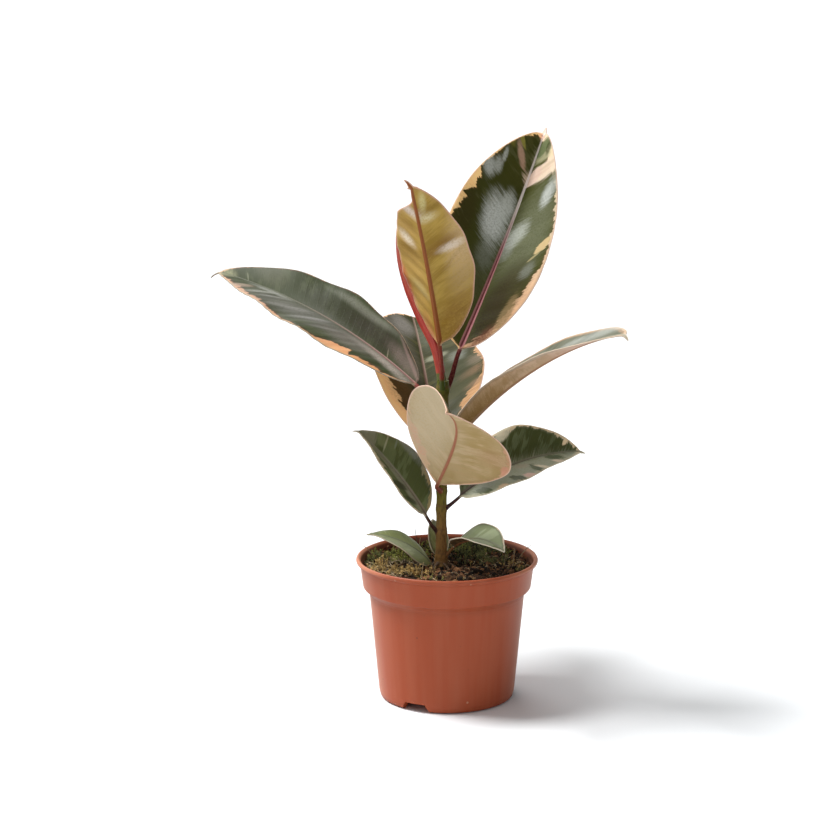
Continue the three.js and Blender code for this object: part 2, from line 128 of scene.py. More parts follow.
# What is strewn on the soil. Each row: centre x and y, spread x and y, count, least and greatest size.
CRUMBS = [
    (0, 0, 54, 54, 1300, 0.5, 1.3), (0, 0, 54, 54, 420, 1.0, 2.2), (14, -16, 30, 14, 260, 1.0, 2.8),
    (46, 14, 12, 24, 260, 0.8, 2.0), (32, -6, 10, 12, 90, 1.2, 2.6), (10, -18, 30, 15, 170, 1.8, 3.9),
    (36, 4, 14, 22, 90, 1.8, 3.6), (-5, -5, 9, 6, 60, 0.8, 2.0), (-52, 6, 5, 20, 80, 0.7, 1.8),
]
GRIT = [
    (13, -2, 5, 3, 14, 0.4, 0.8), (0, 0, 54, 54, 150, 0.15, 0.4), (-36, -8, 14, 12, 30, 0.25, 0.5),
    (40, 8, 12, 16, 30, 0.2, 0.5), (6, -24, 30, 8, 30, 0.15, 0.4),
]
MOSS = {
    "gold": [
        (-43, 1, 5, 6, 40, 3.5, 7), (-21.5, -20, 3, 3.5, 26, 4, 9.5), (-31, -13, 12, 9, 80, 3, 6.5),
        (-14, -16, 7, 8, 40, 2, 5), (-46, -12, 6, 7, 50, 2.5, 5), (44, -2, 8, 9, 36, 2, 4),
        (-36, 22, 10, 8, 24, 2, 4), (4, -28, 20, 5, 30, 1.5, 3), (24, 6, 20, 16, 40, 1.5, 3),
    ],
    "green": [
        (-31, 18, 9, 10, 110, 3, 6), (-46, 16, 7, 10, 40, 2.5, 5), (-12, 30, 12, 14, 60, 3, 6),
        (10, 34, 8, 10, 40, 3, 6), (-8, -26, 12, 6, 20, 2, 4), (33, 30, 9, 8, 30, 2.5, 5),
    ],
    "dark": [
        (16, 36, 16, 15, 170, 3, 6.5), (30, 14, 10, 14, 130, 2.5, 5.5), (-49, 12, 6, 16, 60, 2.5, 5),
        (14, 14, 10, 9, 60, 2, 4), (46, -8, 7, 8, 30, 2, 4),
    ],
}
FIBRES = [
    (0, 0, 53, 53, 110, 3, 8), (34, 10, 16, 22, 60, 3, 7), (-34, -4, 18, 20, 120, 4, 9),
    (4, -20, 36, 11, 70, 2.5, 6),
]
LITTER = {
    "dull grit": (0.30, 0.22, 0.13), "dark straw": (0.045, 0.024, 0.012), "dark root": (0.04, 0.022, 0.012),
    "pale root": (0.17, 0.10, 0.05), "dark fibre": (0.04, 0.02, 0.01), "pale fibre": (0.60, 0.47, 0.28),
}

# Kinds of moss: leaves of a sprig, with sizes as shares of its height, and its lean.
SPRIGS = {
    "gold": {"leaves": 9, "length": 0.3, "lift": 0.6, "girth": 0.085, "lean": 64},
    "green": {"leaves": 12, "length": 0.34, "lift": 0.35, "girth": 0.06, "lean": 62},
    "dark": {"leaves": 12, "length": 0.34, "lift": 0.35, "girth": 0.06, "lean": 66},
}

# What all sprigs share: radii of the stalk, places and sizes of the leaves, and shade.
SPRIG = {
    "foot": 0.045, "top": 0.02, "lowest": 0.14, "leafy": 0.82, "turn": 2.4, "longest": 1.1,
    "shortening": 0.5, "shade": 0.9, "dark": 0.1,
}

# A fibre a thousand long, for copies of all sizes: its path, radii, sides and rows.
FIBRE = ([(0, -500, 0), (130, -200, 120), (-90, 160, 190), (60, 480, 30)], 46, 26, 4, 8)

# Single stalks, straws and roots: tone, radius at the foot and at the end, then points.
STRANDS = [
    (0.45, 0.35, 0.15, [(-46, 12, 87), (-52.3, 12, 95.5), (-57.6, 14, 98.4)]),
    (0.9, 0.22, 0.16, [
        (-49, 22, 88.5), (-47.6, 22, 90.4), (-44.6, 20, 90.2), (-41, 18, 90.8), (-39.6, 15, 88.8),
    ]),
    (0.85, 0.24, 0.14, [(-46, 10, 87), (-44.8, 9, 90.7), (-42.5, 9, 91.4), (-41.2, 8, 89.6)]),
    (0.75, 0.4, 0.2, [(-16.2, -23, 86), (-16.1, -23, 91), (-15.3, -22.4, 96.3)]),
    (0.95, 0.3, 0.2, [(-20.2, -21, 91), (-18, -22, 88.6), (-16.8, -23, 86)]),
    (1.0, 0.3, 0.2, [(-9.5, -29, 87.6), (-7.8, -31, 87.2), (-6.4, -33, 86.6)]),
    (0.15, 0.4, 0.2, [(-20.5, 50, 86), (-20.8, 50, 93), (-21.6, 50, 99.5)]),
    (0.95, 0.3, 0.2, [(-18.4, 48, 87), (-18.6, 48, 90), (-18.1, 48, 94)]),
    (1.0, 0.45, 0.3, [(2.2, 30, 88), (2.6, 30, 90.2), (4.4, 29, 90.9), (6.4, 28, 90), (6.6, 28, 88)]),
    (0.55, 0.5, 0.3, [(4.4, 30, 87), (3.6, 31, 90.5), (2.2, 32, 93.6)]),
    (1.0, 0.75, 0.3, [(24, 6, 87.4), (22.8, 9, 88.6), (21, 12, 89.6)]),
    (0.5, 0.4, 0.3, [(42.9, -4, 86), (43.6, -4, 93), (44.5, -3, 100)]),
    (0.4, 0.35, 0.2, [(37.8, 0, 86), (38, 0, 91), (38.7, 0.5, 95.5)]),
    (0.45, 0.35, 0.15, [(46, 13, 87), (51.5, 14, 94.5), (56.2, 16, 98)]),
    (0.8, 0.3, 0.15, [(34, 22, 87), (36, 21, 91), (38, 21, 93.5)]),
    (0.55, 1.3, 0.5, [(-5, -2.5, 91), (-8, -6, 88.8), (-10.5, -9.5, 86)]),
    (0.6, 1.1, 0.4, [(-2.5, -3, 90.5), (0.5, -7, 88.4), (1.5, -11, 86)]),
    (0.6, 1.0, 0.4, [(-0.5, -0.5, 90), (5, -3.5, 88.4), (9, -5, 86)]),
    (0.5, 1.0, 0.4, [(-7, -0.5, 90), (-12, -2, 88.2), (-16, -6, 86)]),
    (0.7, 0.3, 0.2, [(10, -6, 88), (14, -8, 89), (17, -12, 87)]),
    (0.25, 0.5, 0.3, [(24, 20, 87), (30, 17, 89.6), (37, 18, 88)]),
    (0.3, 0.45, 0.3, [(18, 28, 88), (25, 25, 90), (30, 27, 88)]),
]

# A strand with at least this radius at its foot is an old root.
OLD_ROOT = 0.9

# A direction that no strand runs along.
STRAND_SIDE = (0.31, 0.94, 0.12)

# Stem: rows of height and axis, rows of height and radius.
STEM_AXIS = [(56.5, -4.2, 0.6), (90.5, -3.9, 0.2), (132.5, -3.7, 0), (166.5, -2.9, 0), (212.5, -2.9, 0.4)]
STEM_RADIUS = [
    (56.5, 3.6), (82.5, 4.5), (92.5, 3.9), (110.5, 3.45), (148.5, 3.35), (188.5, 3.7), (212.5, 3.9),
]

# Mesh of the stem: how far its corners are smoothed, and its bark, which ends upward.
STEM = {"sides": 56, "step": 0.6, "blur": 7, "bark": 0.28, "least_bark": 0.05, "smooth": (100, 140)}

# Swelling of the stem at a leaf's foot, and the ring of the scar above it.
SCAR = {"swelling": 0.45, "spread": 2.2, "ring": 0.22, "ring_place": 2.6, "ring_half": 0.45}
BARK = {"cracks": (0.055, 0.032, 0.018), "pale": (0.30, 0.26, 0.13), "scar": (0.16, 0.085, 0.04)}

# Bud sheath: axis and radius from its foot to its tip.
SHEATH_PATH = [
    (-3.9, 1.4, 212.8, 3.0), (-5.2, 3.0, 221.5, 2.9), (-8.2, 6.4, 234.5, 3.4), (-15, 14.2, 249.5, 4.6),
    (-22.6, 20.6, 268.5, 5.2), (-28, 21.6, 286.5, 4.6), (-30.8, 19.6, 302.5, 3.0), (-31.6, 17, 316.5, 0.5),
]

# Mesh of the sheath: the lap of its rolled edge, its pleats and its sharp tip.
SHEATH = {
    "rows": 110, "sides": 48, "blur": 9, "tip_rows": 6, "tip": 0.25, "lap": 0.16, "lap_angle": 3.9,
    "lap_half": 0.12, "seam": 0.62, "pleat": 0.05, "pleats": 9,
}
BUD = {
    "orange": (0.64, 0.16, 0.09), "crimson": (0.30, 0.02, 0.02), "seam": (0.60, 0.30, 0.20),
    "tip": (0.55, 0.30, 0.16),
}

# Leaves. foot: height on the stem, bearing and rise of the stalk there and its radius. base: where
# the blade begins. bearing, rise and roll there, then their change to the tip. fold, spread, curl and
# bias shape the two halves. wave: height, count and phase of the margin's ripple. shape: where the
# blade is widest and how full. drip: length of the drip tip and how far it droops. folds: height on
# the left, on the right and pitch of the soft folds between the veins. rows: rows of the mesh.
# pinch: shares of the length over which the right half narrows.
LEAVES = {
    "leaf_01": dict(
        length=108, width=60, shape=(0.92, 0.62), foot=(206.5, -95, 50, 1.9), base=(-5, -5, 236.5),
        bearing=(-131, -11), rise=(78, 3), roll=(8, 24), fold=35, spread=-4, curl=6, bias=2,
        wave=(0.9, 4.5, 0.4), drip=(8.5, 40), folds=(0.3, 0.4, 10.5), rows=150, pinch=(0.83, 0.92),
    ),
    "leaf_02": dict(
        length=160, width=87, shape=(1.06, 0.58), foot=(205.5, 25, 55, 2), base=(8, 13.5, 230),
        bearing=(53, -7), rise=(51, -12), roll=(23, -3), fold=17, spread=28, curl=-5, bias=4.5,
        wave=(0.8, 2.5, 1.2), drip=(6, 0), folds=(0.16, 0.16, 14), rows=190,
    ),
    "leaf_03": dict(
        length=170, width=84.5, shape=(0.99, 0.68), foot=(190.5, 200, 40, 2), base=(-20.3, -3.6, 210),
        bearing=(141, 13), rise=(31, 20.5), roll=(3, -11), fold=5.5, spread=13, curl=11, bias=0,
        wave=(1.1, 4, 2.1), drip=(10, 50), folds=(0.34, 0.07, 9), rows=190,
    ),
    "leaf_04": dict(
        length=148, width=82, shape=(0.93, 0.62), foot=(154.5, 100, 35, 2), base=(-7.5, 11.5, 165.5),
        bearing=(99, -3), rise=(43, 35), roll=(-3.5, 21), fold=21.5, spread=-16.5, curl=-8, bias=-0.5,
        wave=(0.9, 3, 0.6), drip=(8, 20), folds=(0.2, 0.2, 12), rows=180,
    ),
    "leaf_05": dict(
        length=161, width=59, shape=(0.72, 0.59), foot=(162.5, -35, 35, 2), base=(4.6, -6.1, 173),
        bearing=(-9, -50), rise=(53, 40.5), roll=(0.5, 14), fold=26.5, spread=-19, curl=1.5, bias=0,
        wave=(0.5, 3, 2.6), drip=(7, 50), folds=(0.12, 0.12, 11), rows=180,
    ),
    "leaf_06": dict(
        length=117, width=81, shape=(1.14, 0.86), foot=(138.5, -105, 40, 1.9), base=(-6.5, -10.5, 145),
        bearing=(-62, -45), rise=(50, 28), roll=(-37.5, 5), fold=-3.5, spread=37, curl=21.5, bias=-4,
        wave=(0.6, 2.5, 0.9), drip=(5, 20), folds=(0.14, 0.14, 12), rows=160,
    ),
    "leaf_07": dict(
        length=72, width=42.5, shape=(0.98, 0.68), foot=(110.5, 205, 40, 1.5), base=(-13.7, -4, 122.5),
        bearing=(158.5, -5), rise=(56.5, 20), roll=(-15, 15), fold=17, spread=11, curl=-2.5, bias=-3,
        wave=(0.5, 2.5, 0.2), drip=(5, 45), folds=(0.14, 0.14, 8), rows=110,
    ),
    "leaf_08": dict(
        length=86.5, width=55, shape=(0.99, 0.7), foot=(126.5, -12, 35, 1.5), base=(8, -2.3, 135),
        bearing=(-3, 17.5), rise=(42, 44.5), roll=(27, -7), fold=14.5, spread=11, curl=0.5, bias=5.5,
        wave=(0.7, 3, 1.7), drip=(5, 15), folds=(0.16, 0.16, 9), rows=120,
    ),
    "leaf_09": dict(
        length=48, width=30, shape=(0.78, 0.8), foot=(88, 215, 15, 1.3), base=(-9.6, -4.1, 89.1),
        bearing=(186, -14), rise=(53, 53.5), roll=(-8.5, 7), fold=-1, spread=27, curl=21, bias=-2,
        wave=(0.4, 2, 0.5), drip=(2.5, 0), folds=(0.08, 0.08, 7), rows=90,
    ),
    "leaf_10": dict(
        length=48, width=27.5, shape=(0.92, 0.62), foot=(94.5, -25, 40, 1.3), base=(4.5, -3.2, 101.5),
        bearing=(-46.5, 0), rise=(36.5, 55.5), roll=(7.5, 13), fold=27.5, spread=-3.5, curl=-3, bias=0,
        wave=(0.4, 2.5, 0.8), drip=(2.5, 20), folds=(0.08, 0.08, 7), rows=90,
    ),
    "leaf_11": dict(
        length=30, width=16.5, shape=(0.92, 0.62), foot=(88.5, 100, 20, 1.3), base=(-5.6, 6.8, 90.5),
        bearing=(97, 4), rise=(58, 30), roll=(14, 8), fold=15, spread=0, curl=-5, bias=3,
        wave=(0.3, 2, 0.3), drip=(2.5, 10), folds=(0.05, 0.05, 6), rows=80,
    ),
}

# A leaf without a row for it isn't pinched on the blade.
NO_PINCH = (2, 3)

# Steps by which the midrib is added up, and by which a half curls.
MIDRIB_STEPS = 48
CURL_STEPS = 8

# Form that the blades share, with the neck where the stalk runs in.
BLADE = {"end": 0.988, "crowding": 0.72, "neck": 0.7, "neck_length": 6, "pinch_depth": 0.86}

# The halves beside the midrib, thinner toward the margin.
WING = {
    "columns": 17, "crowding": 0.35, "ripple_power": 1.6, "thinning": 0.28, "thin": (0.8, 1),
    "thickest": 0.45, "inset": 0.22, "inset_most": 0.2,
}

# The midrib under the blade, which fades and tapers toward the tip.
RIB = {
    "columns": 6, "half": 1.5, "spread": 1.35, "taper": 0.7, "most": 0.4, "height": 1.3, "power": 1.3,
    "fade": 0.85, "full_length": 100,
}

# The groove over the midrib, with a low bank on either side.
GROOVE = {"depth": 0.42, "half": 0.75, "bank": 0.45, "bank_place": 1.5, "bank_half": 0.7}

# The drip tip, which grows out of the blade, droops and folds.
DRIP = {
    "root": 2.15, "end": 0.45, "from": 0.93, "ahead": 0.17, "fold": 10, "folded": 0.4, "thinning": 0.35,
}

# Soft folds along the side veins, and slow bulges that are lower on a short blade.
FOLDS = {
    "slant": 0.5, "drift": 1.4, "drift_pitch": 31, "drift_shift": 1.3, "full": (0.06, 0.4), "fade": 0.5,
    "bulge": 0.175, "bulge_pitch": 17, "bulge_length": 120,
}

# The stalk: its curve, the collar at the stem, the channel along its top and its end in the blade.
STALK = {
    "rows": 26, "pull": 0.35, "taper": 0.3, "collar": 0.45, "collar_length": 2.2, "channel": 0.18,
    "channel_half": 0.45, "channelled": (0.2, 1), "turn": 84, "rib_part": 0.35, "wing_part": 0.65,
    "blend": 4.5, "edge": 20,
}

# Grain of a blade: pitch along the midrib and length across it, then its own shift and detail.
VEINED = {
    "blocks": (4.0, 30, 5, 1), "teeth": (1.3, 9, 9, 3), "inner": (7, 24, 60, 2), "streak": (0.9, 11, 33, 3),
    "marble": (10, 30, 21, 3), "drift": (15, 60, 0, 1), "fine": (0.45, 9, 44, 2),
}

# Slope and pitch of the side veins, pitch of the margin's teeth, the halves' shift, widest margin.
SLANT = 0.55
VEIN_PITCH = 5.2
TOOTH_PITCH = 1.7
HALF_SHIFT = 3.7
WIDEST_MARGIN = 20
LEAF = {"vein": (0.22, 0.23, 0.17), "pores": (0.02, 0.018, 0.01), "stalk": (0.20, 0.09, 0.05)}


def spot(x, y, wide, tall, colour, lean=0.0, teeth=0.8, soft=0.15, strength=1.0):
    """A patch round a point of the flat blade: x to the left of the midrib, y from the base."""
    return x, y, wide, tall, colour, lean, teeth, soft, strength


def painted_sheen(x, y, wide, tall, strength, colour="A4A8A0"):
    """A soft pale patch of painted sheen, where the blade catches the light."""
    return spot(x, y, wide, tall, colour, teeth=1.2, soft=0.6, strength=strength)


# Finish of each leaf. slot: record slot. greens: darker and lighter of the upper face and where the
# lighter one starts. left and right: rows of place along the blade and width of the pale margin. teeth:
# reach of the margin's teeth. band: the margin's two colours, and band_left its left half's above. inner:
# colour and width of the half tone beside it. edge: the very edge. rib and core: midrib and its groove,
# near the base and near the tip. rib_turn: where they change over. under: three colours of the lower
# face. foot: colour and upper end of the stalk's foot. spots and under_spots: patches on the two faces,
# some of them painted sheen, painted highlights and painted shade. veins: strength of the side veins.
# coat, roughness and shine: gloss. glow: strength of a painted glow, emission on the left margin that
# stands in for light through it.
COMMON_LOOK = dict(
    slot="leaf_green", teeth=0.7, inner=("6F745C", 1.2), core=("6E3A38", "8E8A74"),
    under=("8C8A5C", "A39A74", "C9A488"), under_rib="9C6A4C", foot=None, spots=(), under_spots=(),
    veins=0.12, coat=0.05, roughness=0.36, rib_width=1.0, rib_turn=(0.1, 0.75), band_left=None, shine=0.15,
    glow=0.0,
)
LOOKS = {}
LOOKS["leaf_01"] = dict(
    slot="leaf_young", seed=2.0, greens=("4A5126", "6B6B38", 0.5), under=("9E7C20", "C2A148", "D6AA5C"),
    stalk="8E2A20", foot=("4E5A22", -20), rib=("9A4A32", "C08060"), under_rib="9C5826", edge="E4B8A0",
    band=("D8A070", "D9A07E"), left=((0, 2), (30, 1), (108, 1)), right=((0, 4), (30, 3), (60, 1.5), (108, 1)),
    teeth=0.4, inner=("C09A54", 2.0), coat=0.25, roughness=0.28, shine=0.2,
    under_spots=(
        spot(-18, 55, 15, 45, "D4AC68", 0, 0.5, 0.6, 0.6), spot(24, 62, 9, 20, "ECCCA0", 0, 0.5, 0.8, 0.7),
        spot(12, 16, 14, 13, "94661C", 0, 0.4, 0.8, 0.65),
        # Painted light on the ripples: the thin darker bands on this line and the next two are painted shade,
        # and the near-white spots further down are painted highlights.
        spot(11, 66, 11, 3.5, "8A5E18", -0.1, 0.5, 0.7, 0.75),
        spot(-15, 63, 12, 3, "94702A", 0.1, 0.6, 0.7, 0.6), spot(-9, 80, 8, 3, "A37C36", 0, 0.5, 0.7, 0.5),
        spot(12, 92, 8, 3, "8E6E22", -0.2, 0.5, 0.7, 0.5), spot(-29, 38, 4.5, 12, "D0523A", 0, 0.4, 0.7, 0.9),
        spot(-10, 8, 5, 10, "C87A50", 0, 0.4, 0.7, 0.6), spot(18, 65, 8, 2.6, "FFF0E0", -0.3, 0.8, 0.7, 0.8),
        spot(-15.8, 72, 6, 3.8, "FFF2DC", 0, 0.7, 0.8, 0.8),
        spot(-6.5, 92, 7, 3.4, "FFF0E8", 0, 0.5, 0.9, 0.9), spot(5, 97, 2.2, 5.5, "E6DC9C", 0, 0.5, 0.7, 0.8),
        spot(5.3, 86, 6, 2.6, "F0E4B8", -0.4, 0.6, 0.9, 0.85),
        spot(-12, 37, 8, 4, "DCCC90", 0, 0.5, 0.7, 0.5), spot(20, 44, 9, 12, "B8985A", 0, 0.5, 0.7, 0.5),
    ),
)
LOOKS["leaf_02"] = dict(
    seed=3.0, greens=("45471C", "5A5C38", 0.56), stalk="5A1C20", rib=("B87C80", "FAF0EA"),
    # Its glow is painted light on the left margin.
    core=("6A2030", "E4DCD2"), band=("E8B48C", "F6E2C4"), teeth=1.8, glow=0.3, band_left="FFD08A",
    inner=("5E4F30", 1.6), edge="E6C6B4",
    left=(
        (0, 2), (70, 2), (80, 0.8), (90, 4), (97, 4), (100, 0.4), (103, 5), (110, 6), (117, 4), (121, 1),
        (150, 0.8), (158, 3), (160, 4),
    ),
    right=(
        (0, 3), (10, 5), (25, 6), (42, 6.5), (55, 5), (64, 3.5), (72, 2.5), (86, 2.2), (104, 2.6), (118, 3),
        (127, 3), (132, 5), (148, 6), (156, 5), (160, 5),
    ),
    coat=0.0, veins=0.04, rib_width=1.05, rib_turn=(0.42, 0.72), shine=0.04,
    spots=(
        spot(-20, 88, 20, 34, "767A62", 0, 0.8, 0.6, 0.75), spot(10, 55, 8, 34, "5C6046", 0, 0.8, 0.6, 0.5),
        spot(-11, 26, 9, 26, "2C2216", 0, 0.6, 0.6, 0.85), spot(-19, 46, 12, 20, "3C3420", 0, 0.9, 0.6, 0.75),
        spot(34, 88, 8, 18, "403618", 0, 1, 0.5, 0.6), spot(-23, 30, 5, 12, "8A7450", -1.2, 0.9, 0.35, 0.85),
        spot(-12, 8, 6, 9, "6B3A28", -0.8, 0.8, 0.5, 0.6),
        spot(-14, 150, 16, 10, "A8A482", 0, 1.1, 0.25, 0.9), spot(-6, 149, 6.5, 7, "66704C", 0, 1.2, 0.2),
        spot(-13, 150, 3, 6, "3E4424", 0.6, 1.2, 0.3, 0.8), spot(-24, 150, 7, 7, "EAD6B0", 0, 1.0, 0.3, 0.9),
        spot(-17, 133, 20, 7.0, "EAD4BC", 0.1, 0.9, 0.25), spot(-6, 128, 7, 6.5, "E0C4B2", 0, 0.8, 0.1),
        spot(-22, 138, 12, 1.6, "C8B090", 0.1, 0.9, 0.6, 0.6),
        spot(-14, 131, 10, 1.2, "D2B094", 0.1, 0.9, 0.6, 0.5),
        spot(-30, 128, 5, 5, "6C6F58", 0, 1.2, 0.3, 0.9), spot(0, 158, 5, 4, "E8B8A2", 0, 0.4, 0.3),
        spot(11, 140, 5.5, 4, "C8A28C", 0.75, 1.0, 0.4, 0.85), spot(15, 151, 5, 2.2, "9A9448", 0.6, 1.1, 0.3),
        spot(22, 147, 4, 3, "7A7634", 0.2, 1.2, 0.4, 0.8), spot(10, 153, 6, 3, "54542C", 0.6, 1.2, 0.3, 0.8),
        spot(-36, 80, 6, 4, "D2B888", -0.2, 1.0, 0.12), spot(-31, 72, 5, 0.9, "A89C72", -0.3, 0.7, 0.2),
        # The patches from here on are painted sheen, pale where the blade catches the light.
        painted_sheen(13, 92, 9, 15, 0.95, "DCE0DC"), painted_sheen(7, 104, 5, 9, 0.85, "D4D8D2"), painted_sheen(10, 68, 6, 9, 0.35),
        painted_sheen(-8, 86, 8, 8, 0.85, "BCC0B6"), painted_sheen(-5, 76, 5, 8, 0.5), painted_sheen(30, 124, 5, 6, 0.95, "C4C8C2"),
        painted_sheen(24, 127, 3, 5, 0.8, "C4C8C2"), painted_sheen(22, 135, 1.6, 5, 0.85, "C4C8C2"),
        painted_sheen(-27, 116, 5.5, 8, 0.95, "C4C8C2"), painted_sheen(-33, 122, 3, 6, 0.7), painted_sheen(-28, 62, 5, 5, 0.4),
    ),
)
LOOKS["leaf_03"] = dict(
    seed=4.0, greens=("3C4229", "4C5238", 0.5), stalk="8A3A34", rib=("A88882", "767868"),
    core=("6E4A44", "5E6050"), band=("DE9A66", "C89880"), teeth=1.9, inner=("5A4636", 1.5), veins=0.08,
    edge="A59C8A", rib_width=0.7, shine=0.1,
    left=(
        (0, 0.6), (18, 1.2), (24, 4), (36, 4.5), (39, 1.2), (42, 8), (56, 8.5), (63, 2), (75, 1), (93, 1.2),
        (97, 3), (110, 3), (122, 4), (134, 4.5), (146, 3), (156, 1.5), (164, 1), (170, 2),
    ),
    right=((0, 0.5), (40, 0.5), (150, 0.5), (165, 1.2), (170, 3)),
    spots=(
        spot(-16, 20, 14, 2.6, "AE9088", -0.9, 0.6, 0.6, 0.8),
        spot(6, 28, 4.5, 28, "ACA298", 0, 0.5, 0.7, 0.9), spot(18, 143, 8, 4, "A89480", 0, 0.8, 0.5, 0.8),
        spot(4, 165, 10, 6, "A8A884", 0, 0.6, 0.6, 0.7), spot(-15, 84, 13, 26, "30301E", 0, 0.6, 0.7, 0.7),
        # On this line, the pale strip at x -31 is painted sheen along the upper edge.
        spot(-31, 70, 5, 24, "9A9A8C", 0, 0.6, 0.7, 0.6), spot(-16, 50, 14, 24, "342C24", 0, 0.6, 0.7, 0.75),
        spot(-12, 21, 9, 14, "887870", -0.6, 0.6, 0.7, 0.7),
        spot(16, 92, 16, 34, "74726C", 0, 0.6, 0.7, 0.75), spot(14, 52, 9, 16, "767068", 0, 0.6, 0.7, 0.75),
        # The thin pale stripes of the left half that follow are painted sheen on its pleats.
        spot(14, 117, 8, 2.6, "9C9A94", 0.1, 1.4, 0.8, 0.6),
        spot(24, 108, 9, 2.2, "8E8C86", -0.1, 1.4, 0.8, 0.6),
        spot(16, 98, 9, 3, "96948E", 0.1, 1.4, 0.8, 0.6), spot(23, 86, 8, 2.4, "9A9894", 0, 1.4, 0.8, 0.6),
        spot(13, 80, 7, 2.4, "9A9894", -0.1, 1.4, 0.8, 0.6),
        spot(20, 69, 9, 2.2, "8A8680", 0.1, 1.4, 0.8, 0.5), spot(15, 128, 10, 3, "9A9A90", 0, 0.8, 0.6, 0.8),
        spot(4, 126, 4, 14, "A4A49C", 0, 0.8, 0.6, 0.7), spot(-4, 150, 4, 0.6, "A8A890", -0.2, 0.4, 0.4, 0.3),
        spot(-5, 32, 5, 0.5, "A89C88", -0.2, 0.4, 0.4, 0.4),
        spot(-18, 140, 12, 12, "62624E", 0, 0.8, 0.6, 0.5),
    ),
)
LOOKS["leaf_04"] = dict(
    seed=5.0, greens=("38381E", "4C4A2C", 0.5), stalk="5A4436", rib=("6E4C40", "8A7466"),
    # Its left margin's lighter colour and its glow are painted light, against the shade that leaf_03 casts on
    # it.
    core=("5A3A34", "6E5A50"), band=("B28254", "B08263"), band_left="FFC88C", teeth=2.4,
    inner=("4E4A30", 2.2), edge="D4AFA0", veins=0.08, rib_width=0.7, shine=0.04, glow=0.28,
    left=((0, 4), (20, 9), (40, 11), (52, 10), (60, 4), (70, 1), (100, 1), (148, 1)),
    right=((0, 3), (20, 5), (30, 9), (38, 8), (44, 4), (52, 2), (70, 1.2), (80, 2.5), (95, 1.6), (148, 1)),
    spots=(
        spot(-31, 58, 8, 4, "86684C", 0, 2.0, 0.6, 0.8), spot(-35, 72, 6, 6, "8A7866", 0, 2.0, 0.6, 0.6),
        spot(-32, 46, 7, 3, "8A6E54", 0, 2.0, 0.5, 0.7), spot(-10, 84, 8, 3.5, "9C9C84", 0, 0.9, 0.3, 0.7),
        spot(-20, 60, 12, 26, "3E4028", 0, 1.2, 0.6, 0.7), spot(20, 42, 11, 15, "7A5A34", 0, 0.8, 0.5, 0.85),
        spot(24, 105, 13, 22, "8A847E", 0, 0.6, 0.6, 0.75), spot(10, 125, 8, 14, "96908A", 0, 0.8, 0.6, 0.7),
        spot(-5, 118, 4, 20, "6A6E5C", 0, 0.8, 0.6, 0.6), spot(6, 70, 4, 30, "5E5850", 0, 0.5, 0.6, 0.5),
        # The last patch is painted sheen.
        painted_sheen(-24, 82, 6, 6, 0.35),
    ),
)
LOOKS["leaf_05"] = dict(
    seed=6.0, greens=("4E523E", "6C6E5A", 0.42), under=("B08A58", "CCA880", "E0BCA0"), stalk="5C3A22",
    rib=("8A7A66", "A09C8A"), under_rib="B48C6C", edge="CDBCA8", band=("C0A48E", "B09C88"), teeth=0.5,
    left=((0, 1), (60, 1), (100, 2), (161, 2)), right=((0, 2), (50, 2), (90, 4), (130, 4), (161, 3)),
    # The spots on the next line are painted sheen.
    inner=("A5886C", 2.0), spots=(painted_sheen(12, 128, 8, 22, 0.5, "C4C8C0"), painted_sheen(12, 100, 5, 8, 0.4, "C4C8C0")),
    under_spots=(
        spot(0, 18, 17, 26, "8A6628", 0, 0.6, 0.7, 0.8), spot(0, 132, 26, 34, "DEB0A2", 0, 0.6, 0.6, 0.6),
        spot(14, 84, 8, 26, "D8BC98", 0, 0.8, 0.6, 0.5), spot(-14, 60, 6, 20, "A8824E", 0, 0.8, 0.6, 0.5),
    ),
)
LOOKS["leaf_06"] = dict(
    slot="leaf_under", seed=7.0, greens=("4E5638", "6E704E", 0.5), under=("B09A64", "CCB68C", "E09A80"),
    stalk="7A342A", rib=("B07A68", "B08A70"), under_rib="B0745A", edge="E8C6B0", band=("DCAC8A", "D09C80"),
    left=((0, 1), (45, 1), (52, 3), (78, 3), (86, 1), (117, 1)), teeth=1.8,
    right=((0, 1), (14, 1.6), (22, 4.5), (46, 3.6), (54, 1.2), (117, 1)), inner=("A58A62", 1.5),
    roughness=0.42, rib_width=0.55,
    under_spots=(
        spot(-29, 40, 4, 3.5, "E2A088", 0, 2.0, 0.2, 0.85),
        spot(-25, 34, 3.6, 2.6, "DC9880", 0, 2.0, 0.2, 0.85),
        spot(-18.5, 26, 3.4, 3, "DC967C", 0, 2.0, 0.2, 0.8), spot(37, 56, 3, 6, "E2A088", 0, 1.6, 0.3, 0.8),
        spot(-22, 70, 22, 55, "D4C4A4", 0, 0.6, 0.6, 0.85), spot(30, 62, 12, 10, "B58A64", 0, 0.5, 0.8, 0.5),
        spot(-8, 96, 4, 16, "C0A48C", 0, 0.6, 0.7, 0.5),
    ),
)
